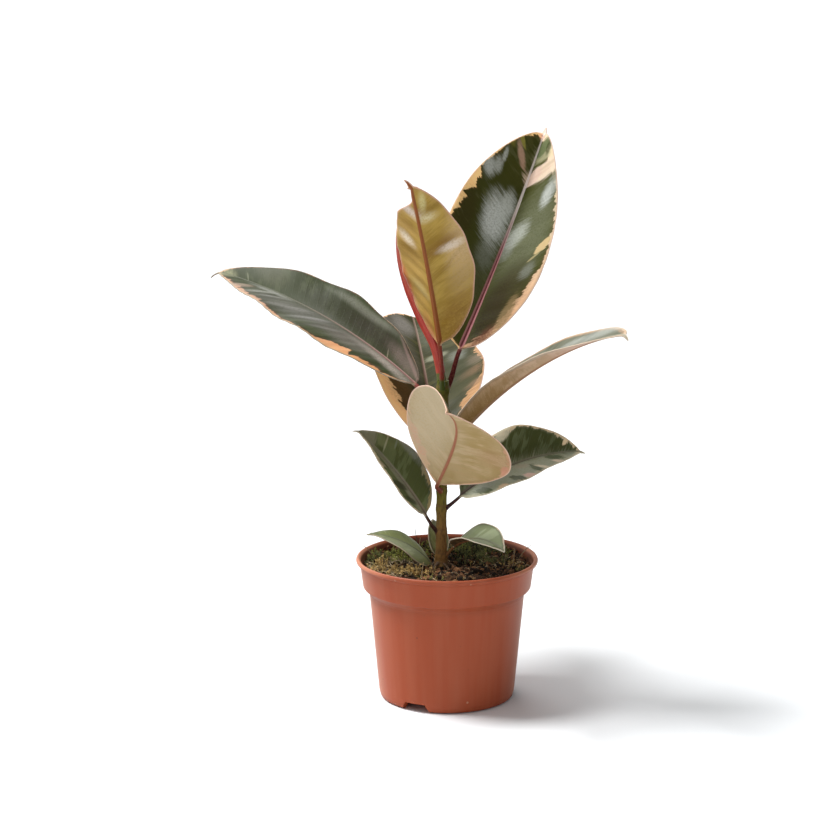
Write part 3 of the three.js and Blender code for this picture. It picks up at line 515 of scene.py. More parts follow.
LOOKS["leaf_07"] = dict(
    seed=8.0, greens=("5C643A", "747E54", 0.5), stalk="3A2220", rib=("8E8270", "9A9682"),
    core=("6E6454", "84806C"), teeth=2.0, shine=0.12, band=("9A9468", "C8BFA4"), band_left="DCD2B4",
    edge="D8CDB8", left=((0, 0.6), (20, 1.5), (36, 2.5), (44, 6), (72, 6)),
    right=((0, 1), (8, 3), (30, 2.5), (40, 0.8), (72, 0.8)),
    spots=(
        # This pale strip beside the midrib is painted sheen.
        spot(3.5, 34, 4.5, 36, "A6A48E", 0, 0.6, 0.4, 0.8),
        spot(11, 26, 8, 3.5, "40402C", -0.2, 0.9, 0.3, 0.85),
        spot(13, 42, 6, 2.6, "4A4C34", -0.2, 0.9, 0.3, 0.7), spot(8, 14, 5, 3, "3C4028", 0, 0.9, 0.3, 0.8),
        spot(-4, 66, 8, 7, "A09E88", 0, 0.9, 0.3, 0.8), spot(-8, 58, 4, 4, "8A9268", 0, 1.0, 0.3, 0.8),
        spot(-9, 54.5, 6, 0.7, "B8B898", 0, 0.6, 0.3, 0.8),
        spot(-14, 50, 3.5, 0.8, "8E9884", 0, 0.6, 0.3, 0.8), spot(16, 44, 5, 3, "D2BCA0", 0, 0.8, 0.3, 0.6),
        # The last patch is painted sheen along the edge.
        painted_sheen(-19, 42, 3, 12, 0.7),
    ),
)
LOOKS["leaf_08"] = dict(
    seed=9.0, greens=("4A522E", "667050", 0.5), stalk="38242A", rib=("6C6258", "8C8C78"),
    core=("5A4E48", "70705E"), teeth=2.2, shine=0.06, edge="DCD4BC", band=("E2D6B8", "D8CCAC"),
    left=((0, 1), (34, 1.4), (44, 3.5), (52, 1.2), (70, 1.4), (86.5, 3)),
    right=((0, 1.5), (22, 3), (34, 1.5), (44, 3), (60, 3), (68, 1.6), (86.5, 3)),
    spots=(
        spot(-13, 40, 15, 60, "A8AC94", 0, 1.2, 0.4, 0.9), spot(7.8, 78, 2.4, 1.5, "F4DCB4", 0, 2.6, 0.2),
        spot(-7, 68, 6, 4, "4A5632", 0, 2.6, 0.15, 0.9), spot(-17, 54, 7, 2.6, "4A5632", 0.2, 2.6, 0.15, 0.9),
        spot(-21.5, 41, 5, 3, "4A5230", 0, 2.6, 0.15, 0.9),
        spot(-14, 17.6, 7, 3.4, "46522E", 0, 2.4, 0.15, 0.85),
        spot(-19.5, 58, 7, 1.8, "E8DCC0", 0, 1.6, 0.3, 0.9),
        spot(-24, 48.5, 4.5, 2.6, "E8C0B0", 0, 1.4, 0.3, 0.9),
        spot(-16, 69, 5, 2.6, "E8D4BC", 0, 1.4, 0.3, 0.9),
        spot(-24.5, 30.6, 4.5, 3, "E4C4A0", 0, 1.4, 0.3, 0.9),
        spot(-7, 46, 4, 3.5, "A89A84", 0, 1.2, 0.5, 0.6), spot(24, 42, 5, 5, "E0DAC0", 0, 0.8, 0.3, 0.9),
        # These two patches are painted sheen.
        painted_sheen(-9, 22, 6, 12, 0.5), painted_sheen(-6, 82, 6, 6, 0.3),
    ),
)
LOOKS["leaf_09"] = dict(
    seed=10.0, greens=("7C8456", "9AA278", 0.5), left=((0, 0.5), (48, 0.5)), right=((0, 0.5), (48, 0.5)),
    band=("B4AC90", "A89C80"), edge="A79C84", stalk="4A3A2A", rib=("6E7058", "7E826A"),
    # Its one spot is painted sheen.
    core=("565C46", "6E745E"), spots=(painted_sheen(8, 26, 6, 16, 0.25),),
)
LOOKS["leaf_10"] = dict(
    seed=11.0, greens=("8A946E", "A4AE8C", 0.5), left=((0, 0.7), (48, 0.7)), right=((0, 0.7), (48, 0.7)),
    band=("DCD4BE", "D8C4A8"), edge="E4DCC8", stalk="8A6238", rib=("7E7460", "8A8E78"),
    # Its one spot is painted sheen.
    core=("6E6A54", "7A7E6A"), under=("5C4A30", "7C6A48", "B09070"), spots=(painted_sheen(-6, 30, 5, 11, 0.25),),
)
LOOKS["leaf_11"] = dict(
    seed=12.0, greens=("9AA066", "AEB480", 0.5), left=((0, 0.8), (30, 0.8)), right=((0, 0.6), (30, 0.6)),
    band=("D2CCB0", "C8B898"), edge="DCD6C0", stalk="4E3424", rib=("7E7A60", "8A8A74"),
    core=("6E6A52", "7A7A66"),
)

# The stage, in metres and degrees, and the place, size and power of each box of light.
STAGE = {
    "floor_level": -0.0002, "floor_size": 12, "paper_grain": (0.86, 0.86, 0.86), "backdrop": 1.1,
    "key_distance": 3, "lit_point": (0, 0, 0.2),
}
BOXES = {"top_box": ((-0.25, 0.75, 1.1), 0.7, 5.0), "fill_box": ((0.9, -1.2, 0.7), 0.8, 2.0)}
CAMERA = {
    "place": (0, -1.73537, 0.572), "sensor": 36, "lens": 117, "pitch": 12.535, "yaw": 0.5876,
    "nearest": 0.05, "farthest": 50,
}


def linear(hex_colour):
    """Linear red, green and blue of a colour written as six hex digits."""
    out = []
    for i in (0, 2, 4):
        c = int(hex_colour[i:i + 2], 16) / 255
        out.append(c / 12.92 if c <= 0.04045 else ((c + 0.055) / 1.055) ** 2.4)
    return tuple(out)


def swatch(name, hex_colour, description):
    return bpy.props.FloatVectorProperty(
        name=name, description=description, subtype="COLOR", size=3, min=0, max=1,
        default=linear(hex_colour),
    )


def whole(name, default, description, **limits):
    return bpy.props.IntProperty(name=name, description=description, default=default, **limits)


def number(name, default, description, **limits):
    return bpy.props.FloatProperty(name=name, description=description, default=default, min=0, **limits)


def length_mm(name, default, description):
    """A length, with its default in millimetres."""
    return number(name, default * MM, description, unit="LENGTH", subtype="DISTANCE")


def degrees(name, default, description):
    """An angle, with its default in degrees."""
    return bpy.props.FloatProperty(
        name=name, description=description, default=math.radians(default), unit="ROTATION", subtype="ANGLE",
    )


class PotSettings(bpy.types.PropertyGroup):
    plastic: swatch("Plastic", "B0512F", "Colour of the moulded plastic")
    # Worn plastic is also the colour of the painted highlight on the lip's sides.
    worn: swatch("Worn plastic", "D29274", "Colour of the scuffed edges")
    sides: whole("Sides", 144, "Steps round the pot", min=24, max=360)
    rounding: length_mm("Edge rounding", 0.5, "Radius of the moulded edges")


class SoilSettings(bpy.types.PropertyGroup):
    dark: swatch("Wet peat", "1C130C", "Darkest colour of the peat")
    brown: swatch("Dry peat", "B6825A", "Lightest colour of the peat")
    moss_green: swatch("Green moss", "A2A650", "Colour of the fresh moss")
    moss_dark: swatch("Dark moss", "7C8048", "Colour of the shaded moss")
    moss_gold: swatch("Golden moss", "D8B874", "Colour of the dry moss")
    grit: swatch("Grit", "D4BC90", "Colour of the rootlets and grit")
    seed: whole("Seed", 11, "Order of the scattered pieces")


class StemSettings(bpy.types.PropertyGroup):
    green: swatch("Young stem", "5D6426", "Colour of the stem near the top")
    olive: swatch("Older stem", "726828", "Colour of the stem half way up")
    bark: swatch("Bark", "8E6A3C", "Colour of the bark at the foot")
    sheath: swatch("Bud sheath", "B43026", "Colour of the bud's sheath")


class LeafSettings(bpy.types.PropertyGroup):
    cream: swatch("Cream", "DDB98C", "Cream of the variegated margin")
    thickness: length_mm("Blade thickness", 0.8, "Thickness of a blade near its midrib")


class StageSettings(bpy.types.PropertyGroup):
    floor: swatch("Floor", "F0F3F5", "Colour of the floor")
    sky: number("Room light", 0.37, "Strength of the even light")
    sky_lean: number("Room light lean", 0.3, "How much brighter the room is on the left")
    bounce: number("Floor bounce", 0.62, "Share of the light that the floor gives back", max=1)
    key: number("Key light", 3.5, "Strength of the key light")
    key_rise: degrees("Key height", 62, "Angle of the key light above the floor")
    key_turn: degrees("Key turn", 7, "Angle of the key light behind the left side")
    key_size: degrees("Key size", 20, "Angle that the key light spans")


class RubberPlantSettings(bpy.types.PropertyGroup):
    pot: bpy.props.PointerProperty(type=PotSettings)
    soil: bpy.props.PointerProperty(type=SoilSettings)
    stem: bpy.props.PointerProperty(type=StemSettings)
    leaf: bpy.props.PointerProperty(type=LeafSettings)
    stage: bpy.props.PointerProperty(type=StageSettings)


def along(table, x, column=1):
    """Value of a column at x, on straight lines through the rows of a table."""
    rows = np.array(table, float)
    return np.interp(x, rows[:, 0], rows[:, column])


def eased(x, low, high):
    """0 below low, 1 above high, and a smooth rise between."""
    t = np.clip((np.asarray(x, float) - low) / (high - low), 0, 1)
    return t * t * (3 - 2 * t)


def unit(vectors):
    """The vectors of an array, each made one long."""
    return vectors / np.linalg.norm(vectors, axis=1)[:, None]


def catmull(points, s):
    """Points of a smooth curve through points, at s from 0 to their count less one."""
    padded = np.concatenate([[2 * points[0] - points[1]], points, [2 * points[-1] - points[-2]]])
    k = np.minimum(s.astype(int), len(points) - 2)
    f = (s - k)[:, None]
    p0, p1, p2, p3 = padded[k], padded[k + 1], padded[k + 2], padded[k + 3]
    return 0.5 * (
        2 * p1 + (p2 - p0) * f + (2 * p0 - 5 * p1 + 4 * p2 - p3) * f ** 2
        + (3 * p1 - p0 - 3 * p2 + p3) * f ** 3
    )


def bezier(s, p0, p1, p2, p3):
    """Points and unit directions of a curve from p0 to p3 that p1 and p2 draw to them, at shares s."""
    s = s[:, None]
    points = (1 - s) ** 3 * p0 + 3 * ((1 - s) ** 2 * s) * p1 + 3 * ((1 - s) * s ** 2) * p2 + s ** 3 * p3
    heading = 3 * ((1 - s) ** 2) * (p1 - p0) + 6 * ((1 - s) * s) * (p2 - p1) + 3 * (s ** 2) * (p3 - p2)
    return points, unit(heading)


def rounded(profile, radius):
    """The profile with each corner replaced by a small arc."""
    points = [np.array(p, float) for p in profile]
    out = [points[0]]
    for before, here, after in zip(points, points[1:], points[2:]):
        a, b = before - here, after - here
        la, lb = np.linalg.norm(a), np.linalg.norm(b)
        cut = min(radius, CORNER["most"] * la, CORNER["most"] * lb)
        start, end = here + a / la * cut, here + b / lb * cut
        for f in np.linspace(0, 1, CORNER["points"]):
            out.append((1 - f) ** 2 * start + 2 * f * (1 - f) * here + f ** 2 * end)
    out.append(points[-1])
    return [(float(r), float(z)) for r, z in out]


def distance_to_line(points, line):
    """Shortest distance from each point to an open line of points."""
    a, b = line[:-1], line[1:]
    d = b - a
    size = np.maximum((d ** 2).sum(1), 1e-12)
    best = np.full(len(points), np.inf)
    for start, step, length in zip(a, d, size):
        f = np.clip(((points - start) @ step) / length, 0, 1)
        near = start + f[:, None] * step
        best = np.minimum(best, np.hypot(*(points - near).T))
    return best


def only(obj):
    bpy.ops.object.select_all(action="DESELECT")
    obj.select_set(True)
    bpy.context.view_layer.objects.active = obj


def primitive(name, add, **settings):
    bpy.ops.object.select_all(action="DESELECT")
    add(**settings)
    obj = bpy.context.active_object
    obj.name = name
    obj.data.name = name
    return obj


def settle(obj):
    only(obj)
    bpy.ops.object.transform_apply(location=True, rotation=True, scale=True)
    return obj


def apply_modifier(obj, kind, **settings):
    only(obj)
    modifier = obj.modifiers.new(kind.title(), kind)
    for key, value in settings.items():
        setattr(modifier, key, value)
    bpy.ops.object.modifier_apply(modifier=modifier.name)


def smooth(obj, angle=60):
    """Shades smooth, with creases over angle degrees."""
    only(obj)
    bpy.ops.object.shade_smooth_by_angle(angle=math.radians(angle))


def dress(obj, material, slot, *nodes):
    """Gives a finished piece its material, parents it to the body and hides the parts that it stands for."""
    obj.data.materials.clear()
    obj.data.materials.append(material)
    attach(obj, BODY)
    if nodes:
        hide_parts(*nodes)


def set_points(obj, points):
    places = np.asarray(points, float).reshape(-1, 3) * MM
    obj.data.vertices.foreach_set("co", places.astype(np.float32).ravel())
    obj.data.update()


def add_attribute(obj, name, values):
    values = np.asarray(values, np.float32)
    vector = values.ndim > 1 and values.shape[-1] == 3
    attribute = obj.data.attributes.new(name, "FLOAT_VECTOR" if vector else "FLOAT", "POINT")
    attribute.data.foreach_set("vector" if vector else "value", values.ravel())


def close_skin(apart):
    """Merges near points, fills open ends and turns faces outward."""
    bpy.ops.mesh.select_all(action="SELECT")
    bpy.ops.mesh.remove_doubles(threshold=apart)
    bpy.ops.mesh.select_all(action="SELECT")
    bpy.ops.mesh.fill_holes(sides=0)
    bpy.ops.mesh.select_all(action="SELECT")
    bpy.ops.mesh.normals_make_consistent(inside=False)
    bpy.ops.object.mode_set(mode="OBJECT")


def sewn_skin(name, rings, attributes=None):
    rings = np.concatenate([rings, rings[:, :1]], axis=1)
    rows, columns = rings.shape[:2]
    obj = primitive(
        name, bpy.ops.mesh.primitive_grid_add,
        x_subdivisions=columns - 1, y_subdivisions=rows - 1, size=START_SIZE, location=(0, 0, 0),
    )
    set_points(obj, rings)
    for key, values in (attributes or {}).items():
        values = np.concatenate([values, values[:, :1]], axis=1)
        add_attribute(obj, key, values.reshape(rows * columns, -1) if values.ndim > 2 else values.ravel())
    bpy.ops.object.mode_set(mode="EDIT")
    close_skin(SAME_POINT["skin"])
    return obj


def joined(name, seed, copies, shade=0.0):
    """One mesh of copies of seed, each with a matrix and a tint, which shade lightens upward."""
    count = len(seed.data.vertices)
    base = np.empty(count * 3, np.float32)
    seed.data.vertices.foreach_get("co", base)
    base = base.reshape(-1, 3)
    faces = [tuple(p.vertices) for p in seed.data.polygons]
    points, polygons, tints = [], [], []
    for i, (matrix, tint) in enumerate(copies):
        m = np.array(matrix)
        points.append(base @ m[:3, :3].T + m[:3, 3])
        polygons.extend(tuple(v + i * count for v in face) for face in faces)
        tints.extend((tint + shade * (base[:, 2] - 0.5)).tolist())
    mesh = bpy.data.meshes.new(name)
    mesh.from_pydata(np.concatenate(points).tolist(), [], polygons)
    obj = bpy.data.objects.new(name, mesh)
    bpy.context.scene.collection.objects.link(obj)
    add_attribute(obj, "tint", tints)
    bpy.data.objects.remove(seed)
    return obj


def strand(name, path, foot, end, sides=6, rows=14):
    """A thin closed tube through points, with its radius at the foot and at the end."""
    path = np.array(path, float)
    centres = catmull(path, np.linspace(0, 1, rows) * (len(path) - 1))
    heading = unit(np.gradient(centres, axis=0))
    left = unit(np.cross(STRAND_SIDE, heading))
    up = np.cross(heading, left)
    a = np.linspace(0, 2 * np.pi, sides, endpoint=False)
    r = np.linspace(foot, end, rows)[:, None, None]
    rings = centres[:, None] + r * (left[:, None] * np.cos(a)[:, None] + up[:, None] * np.sin(a)[:, None])
    return sewn_skin(name, rings)


def soil_level(x, y):
    """Height of the bed of peat, with slow waves that fade at the wall."""
    lumps = math.sin(x * 0.21 + 1.3) * math.cos(y * 0.26 - 0.4)
    lumps += 0.6 * math.sin(x * 0.47 - y * 0.39) * math.cos(y * 0.52 + 2)
    edge = 1 - (x * x + y * y) / SOIL["band"] ** 2
    return SOIL["level"] + SOIL["mound"] * edge + SOIL["lump"] * lumps * min(1, 0.35 + 2 * edge)


def heap_height(x, y):
    back, *back_ramp = HEAP["back"]
    side, *side_ramp = HEAP["side"]
    return back * float(eased(y, *back_ramp)) + side * float(eased(abs(x), *side_ramp))


def scattered(rng, rows, lean, flat=0.0, sink=0.1):
    """Matrices and tints of pieces strewn on the soil by rows of centre, spread, count and sizes.

    lean is the most that a piece tilts, flat the most that it is squashed and sink the share of it
    that lies below the soil.
    """
    placed = []
    for x0, y0, wide, deep, count, least, most in rows:
        for _ in range(count):
            way, far = rng.uniform(0, 2 * math.pi), math.sqrt(rng.random())
            x, y = x0 + wide * far * math.cos(way), y0 + deep * far * math.sin(way)
            size = rng.uniform(least, most)
            tilt = rng.uniform(0, lean)
            reach = math.hypot(x, y) + size * max(LEAST_REACH, math.sin(tilt))
            if reach > SOIL["rim"] or math.hypot(x - STEM_AXIS[1][1], y) < STEM_ROOM:
                continue
            turn = Matrix.Rotation(rng.uniform(0, 2 * math.pi), 4, "Z") @ Matrix.Rotation(tilt, 4, "X")
            turn = turn @ Matrix.Rotation(rng.uniform(0, 2 * math.pi), 4, "Z")
            scale = [size * MM * (1 - flat * rng.random()) for _ in range(3)]
            heap = heap_height(x, y) * rng.uniform(HEAP["least"], 1)
            place = Vector((x, y, soil_level(x, y) - sink * size + heap)) * MM
            matrix = Matrix.Translation(place) @ turn @ Matrix.Diagonal((*scale, 1))
            placed.append((matrix, rng.random()))
    return placed


class Tree:
    """Adds and links the nodes of a material or a node group."""

    def __init__(self, tree):
        self.tree = tree

    def node(self, kind, inputs=None, **settings):
        made = self.tree.nodes.new(kind)
        for key, value in settings.items():
            setattr(made, key, value)
        for key, value in (inputs or {}).items():
            self.feed(made.inputs[key], value)
        return made

    def feed(self, socket, value):
        """Links a socket to another one or to a node, or sets it."""
        if isinstance(value, bpy.types.NodeSocket):
            self.tree.links.new(value, socket)
        elif isinstance(value, bpy.types.Node):
            self.tree.links.new(value.outputs[0], socket)
        elif socket.type == "RGBA" and len(value) == 3:
            socket.default_value = (*value, 1)
        else:
            socket.default_value = value

    def math(self, operation, a, b=0.0, c=0.0, clamp=False):
        made = self.node("ShaderNodeMath", operation=operation, use_clamp=clamp)
        for socket, value in zip(made.inputs, (a, b, c)):
            self.feed(socket, value)
        return made.outputs[0]

    def plus(self, a, b):
        return self.math("ADD", a, b)

    def minus(self, a, b):
        return self.math("SUBTRACT", a, b)

    def times(self, a, b):
        return self.math("MULTIPLY", a, b)

    def over(self, a, b):
        return self.math("DIVIDE", a, b)

    def times_plus(self, a, b, c):
        """a times b, plus c."""
        return self.math("MULTIPLY_ADD", a, b, c)

    def unsigned(self, a):
        return self.math("ABSOLUTE", a)

    def length(self, a, b):
        return self.math("SQRT", self.plus(self.times(a, a), self.times(b, b)))

    def mix(self, share, a, b):
        made = self.node("ShaderNodeMix", data_type="RGBA")
        self.feed(made.inputs[0], share)
        self.feed(made.inputs[6], a)
        self.feed(made.inputs[7], b)
        return made.outputs[2]

    def ramp(self, value, low, high, start=0.0, end=1.0):
        """A smooth step from start to end while value goes from low to high."""
        made = self.node(
            "ShaderNodeMapRange", interpolation_type="SMOOTHSTEP",
            inputs={"Value": value, "From Min": low, "From Max": high, "To Min": start, "To Max": end},
        )
        return made.outputs[0]

    def zone(self, value, row):
        """A smooth step between two places in millimetres."""
        low, high, *ends = row
        return self.ramp(value, low * MM, high * MM, *ends)

    def noise(self, vector, scale=1.0, detail=2.0, roughness=0.5):
        made = self.node(
            "ShaderNodeTexNoise",
            inputs={"Vector": vector, "Scale": scale, "Detail": detail, "Roughness": roughness},
        )
        return made.outputs[0]

    def xyz(self, x=0.0, y=0.0, z=0.0):
        return self.node("ShaderNodeCombineXYZ", inputs={"X": x, "Y": y, "Z": z}).outputs[0]

    def curve(self, value, rows, top):
        """Height of straight lines through rows of (place, height), for heights up to top."""
        made = self.node("ShaderNodeFloatCurve", inputs={"Value": value})
        points = made.mapping.curves[0].points
        points[0].location = (rows[0][0], rows[0][1] / top)
        points[1].location = (rows[-1][0], rows[-1][1] / top)
        for place, height in rows[1:-1]:
            points.new(place, height / top)
        for point in points:
            point.handle_type = "VECTOR"
        made.mapping.update()
        return self.times(made.outputs[0], top)

    def split(self, vector):
        return self.node("ShaderNodeSeparateXYZ", inputs={"Vector": vector}).outputs

    def attribute(self, name, output):
        return self.node("ShaderNodeAttribute", attribute_name=name).outputs[output]

    def place(self):
        return self.node("ShaderNodeTexCoord").outputs["Object"]

    def group(self, name, inputs):
        return self.node("ShaderNodeGroup", node_tree=bpy.data.node_groups[name], inputs=inputs).outputs


def new_group(name, inputs, outputs):
    """A shader node group. inputs: names to the default of a number or to a kind of socket."""
    tree = bpy.data.node_groups.new(name, "ShaderNodeTree")
    for key, value in inputs.items():
        plain = isinstance(value, float)
        socket = tree.interface.new_socket(name=key, in_out="INPUT", socket_type=FLOAT if plain else value)
        if plain:
            socket.default_value = value
    for key in outputs:
        tree.interface.new_socket(name=key, in_out="OUTPUT", socket_type=FLOAT)
    t = Tree(tree)
    return t, t.node("NodeGroupInput").outputs, t.node("NodeGroupOutput").inputs


def new_material(name, **shader):
    """A material with one Principled shader, its tree and the shader's sockets."""
    material = bpy.data.materials.new(name)
    material.use_nodes = True
    tree = material.node_tree
    tree.nodes.clear()
    t = Tree(tree)
    principled = t.node("ShaderNodeBsdfPrincipled", inputs=shader)
    out = t.node("ShaderNodeOutputMaterial")
    tree.links.new(principled.outputs[0], out.inputs["Surface"])
    return material, t, principled.inputs


def bump(t, sockets, height, strength, distance):
    made = t.node("ShaderNodeBump", inputs={"Height": height, "Strength": strength, "Distance": distance})
    t.feed(sockets["Normal"], made.outputs[0])


def group_leaf_pattern():
    """Where a blade is green, marbled, cream, veined or midrib."""
    t, i, o = new_group(
        "Leaf pattern",
        {
            "Place": VECTOR, "Edge": FLOAT, "Length": 100.0, "Seed": 0.0, "Width": 3.0, "Teeth": 1.5,
            "Inner": 3.0, "Slant": SLANT, "Rib": 1.0,
        },
        (
            "Band", "Inner", "Marble", "Streak", "Vein", "Ridge", "Rib", "Core", "Under", "Vein place",
            "Cloud", "Grain",
        ),
    )
    x, y, under = t.split(i["Place"])
    across = t.unsigned(x)
    vein_place = t.minus(y, t.times(across, i["Slant"]))
    seed = t.times_plus(t.math("SIGN", x), HALF_SHIFT, i["Seed"])

    def veined(kind, source=vein_place):
        """Noise drawn out along the side veins."""
        pitch, length, shift, detail = VEINED[kind]
        place = t.xyz(t.over(source, pitch), t.over(across, length), t.plus(seed, shift))
        return t.noise(place, 1, detail, 0.6)

    def clouded(wide, tall, shift, *detail):
        """Noise that the side veins don't draw out."""
        return t.noise(t.xyz(t.over(x, wide), t.over(y, tall), t.plus(i["Seed"], shift)), 1, *detail)

    feed_margin(t, i, o, veined, vein_place)
    streak = veined("streak")
    t.feed(o["Marble"], t.times_plus(t.minus(streak, 0.5), 0.35, veined("marble")))
    t.feed(o["Streak"], streak)
    t.feed(o["Cloud"], clouded(22, 30, 50, 2))
    t.feed(o["Grain"], clouded(1.4, 1.4, 70, 4, 0.7))
    feed_side_veins(t, o, veined, vein_place)
    feed_midrib(t, i, o, across, y)
    t.feed(o["Under"], under)
    t.feed(o["Vein place"], vein_place)


def feed_margin(t, i, o, veined, vein_place):
    """The toothed pale margin, and the half tone inside it."""
    blocks = veined("blocks", t.math("SNAP", vein_place, TOOTH_PITCH))
    jag = t.times_plus(t.minus(blocks, 0.5), 2.6, t.minus(veined("teeth"), 0.5))
    reach = t.times(i["Teeth"], t.ramp(i["Width"], 0.3, 3.0, 0.25, 1))
    width = t.times_plus(jag, t.times(reach, 2), i["Width"])
    beyond = t.minus(i["Edge"], width)
    t.feed(o["Band"], t.ramp(beyond, -0.3, 0.3, 1, 0))
    inner = t.times(i["Inner"], t.times(veined("inner"), 2))
    t.feed(o["Inner"], t.ramp(t.minus(beyond, inner), -1.0, 0.6, 1, 0))


def feed_side_veins(t, o, veined, vein_place):
    phase = t.times_plus(veined("drift"), 0.8, t.over(vein_place, VEIN_PITCH))
    wave = t.times(t.unsigned(t.minus(t.math("FRACT", phase), 0.5)), 2)
    ridge = t.ramp(wave, 0.86, 1.0)
    t.feed(o["Ridge"], ridge)
    t.feed(o["Vein"], t.times_plus(veined("fine"), 0.45, t.times(ridge, 0.5)))


def feed_midrib(t, i, o, across, y):
    share = t.over(y, i["Length"])
    rib = t.times(t.times_plus(share, -1.0, 2.1), i["Rib"])
    t.feed(o["Rib"], t.ramp(t.minus(across, rib), -0.4, 0.3, 1, 0))
    core = t.times_plus(share, -0.6, 0.75)
    t.feed(o["Core"], t.ramp(t.minus(across, core), -0.25, 0.25, 1, 0))


def group_leaf_patch():
    t, i, o = new_group(
        "Leaf patch",
        {
            "Place": VECTOR, "Vein place": FLOAT, "Streak": FLOAT, "Across": 10.0, "Along": 50.0,
            "Half across": 6.0, "Half along": 4.0, "Lean": 0.0, "Teeth": 0.6, "Softness": 0.12, "Grain": 0.5,
        },
        ("Mask",),
    )
    x = t.minus(t.split(i["Place"])[0], i["Across"])
    along_vein = t.minus(t.minus(i["Vein place"], i["Along"]), t.times(x, i["Lean"]))
    far = t.length(t.over(x, i["Half across"]), t.over(along_vein, i["Half along"]))
    far = t.times_plus(t.minus(i["Streak"], 0.5), i["Teeth"], far)
    inside = t.ramp(far, t.minus(1, i["Softness"]), t.plus(1, i["Softness"]), 1, 0)
    worn = t.times(t.ramp(i["Grain"], 0.3, 0.62, 0.75, 0), i["Softness"])
    t.feed(o["Mask"], t.times(inside, t.minus(1, worn)))


def group_speckle():
    t, i, o = new_group("Speckle", {"Place": VECTOR, "Size": 900.0, "Amount": 0.2}, ("Mask", "Grain"))
    specks = t.node("ShaderNodeTexVoronoi", inputs={"Vector": i["Place"], "Scale": i["Size"]})
    patches = t.noise(i["Place"], 60, 3)
    cut = t.times(i["Amount"], t.ramp(patches, 0.35, 0.75))
    t.feed(o["Mask"], t.ramp(t.minus(specks.outputs["Distance"], cut), -0.06, 0.06, 1, 0))
    t.feed(o["Grain"], t.noise(i["Place"], 2600, 3, 0.6))


def plastic_material(settings):
    material, t, shader = new_material("Terracotta plastic", **{"Specular IOR Level": 0.3})
    place = t.place()
    x, y, z = t.split(place)
    flow = t.noise(t.xyz(t.times(t.math("ARCTAN2", y, x), 6), t.times(z, 9), 3), 1, 3)
    cloud = t.noise(place, 16, 3)
    speck = t.group("Speckle", {"Place": place, "Size": 160.0, "Amount": 0.07})
    tone = t.mix(t.ramp(flow, 0.3, 0.7, 0, 0.1), tuple(settings.plastic), tuple(settings.worn))
    tone = t.mix(t.ramp(cloud, 0.35, 0.75, 0, 0.12), tone, PLASTIC["cloud"])
    tone = lip_highlight_and_shade(t, tone, x, z, tuple(settings.worn))
    tone = shaded_creases(t, tone, z)
    tone = peat_smears_and_inner_shade(t, tone, place, t.length(x, y), z)
    tone = t.mix(t.times(speck["Mask"], 0.5), tone, PLASTIC["speck"])
    tone = nicks(t, tone, place, speck["Grain"])
    t.feed(shader["Base Color"], painted_edge_reflection(t, tone))
    t.feed(shader["Roughness"], t.ramp(cloud, 0.3, 0.7, 0.38, 0.46))
    bump(t, shader, t.times_plus(speck["Grain"], 0.5, flow), 0.12, 0.0001)
    return material


def lip_highlight_and_shade(t, tone, x, z, worn):
    # Painted highlight: the lip's top is paler toward its left and right sides. Painted shade: it is darker
    # at the front.
    aside = t.unsigned(x)
    rub = t.zone(aside, (*LIP_SIDES, 0.05, 0.7))
    tone = t.mix(t.times(t.zone(z, LIP_TOP), rub), tone, worn)
    front = t.times(t.zone(z, LIP_TOP), t.zone(aside, (*LIP_SIDES, 0.3, 0)))
    return t.mix(front, tone, PLASTIC["front"])


def shaded_creases(t, tone, z):
    # Painted shade in the creases under the band and under the lip.
    under_band, under_lip = (t.times(t.zone(z, rise), t.zone(z, fall)) for rise, fall in CREASES)
    crease_shade = t.math("MAXIMUM", under_band, under_lip)
    return t.mix(t.times(crease_shade, 0.28), tone, PLASTIC["crease_shade"])


def peat_smears_and_inner_shade(t, tone, place, radius, z):
    """Smears of peat on the inside of the wall, which is painted darker: partly its own tone, partly painted
    shade.
    """
    depth = t.times_plus(z, -WALL["slope"], radius)
    inside = t.times(t.zone(depth, WALL["inner_face"]), t.zone(z, WALL["above"]))
    smears = t.ramp(t.noise(place, 110, 4, 0.7), 0.42, 0.6)
    damp = t.times(smears, t.zone(z, WALL["damp"]))
    tone = t.mix(t.times(inside, 0.65), tone, PLASTIC["inside"])
    return t.mix(t.times(inside, damp), tone, PLASTIC["peat"])


def nicks(t, tone, place, grain):
    for point, size, pale in POT_MARKS:
        far = t.node("ShaderNodeVectorMath", operation="DISTANCE", inputs={0: place, 1: Vector(point) * MM})
        far = t.times_plus(t.minus(grain, 0.5), 2 * MM, far.outputs["Value"])
        nick = t.ramp(far, size * MM * 0.5, size * MM, 0.7, 0)
        tone = t.mix(nick, tone, PLASTIC["pale nick"] if pale else PLASTIC["dark nick"])
    return tone


def painted_edge_reflection(t, tone):
    # Painted reflection of the room: a pale tone on upright walls where they turn away from the view.
    rise = t.split(t.node("ShaderNodeTexCoord").outputs["Normal"])[2]
    upright = t.ramp(t.unsigned(rise), 0.15, 0.4, 1, 0)
    slope = t.node("ShaderNodeLayerWeight", inputs={"Blend": 0.35}).outputs["Facing"]
    return t.mix(t.times(t.ramp(slope, 0.3, 1.0, 0, 0.5), upright), tone, PLASTIC["painted_reflection"])


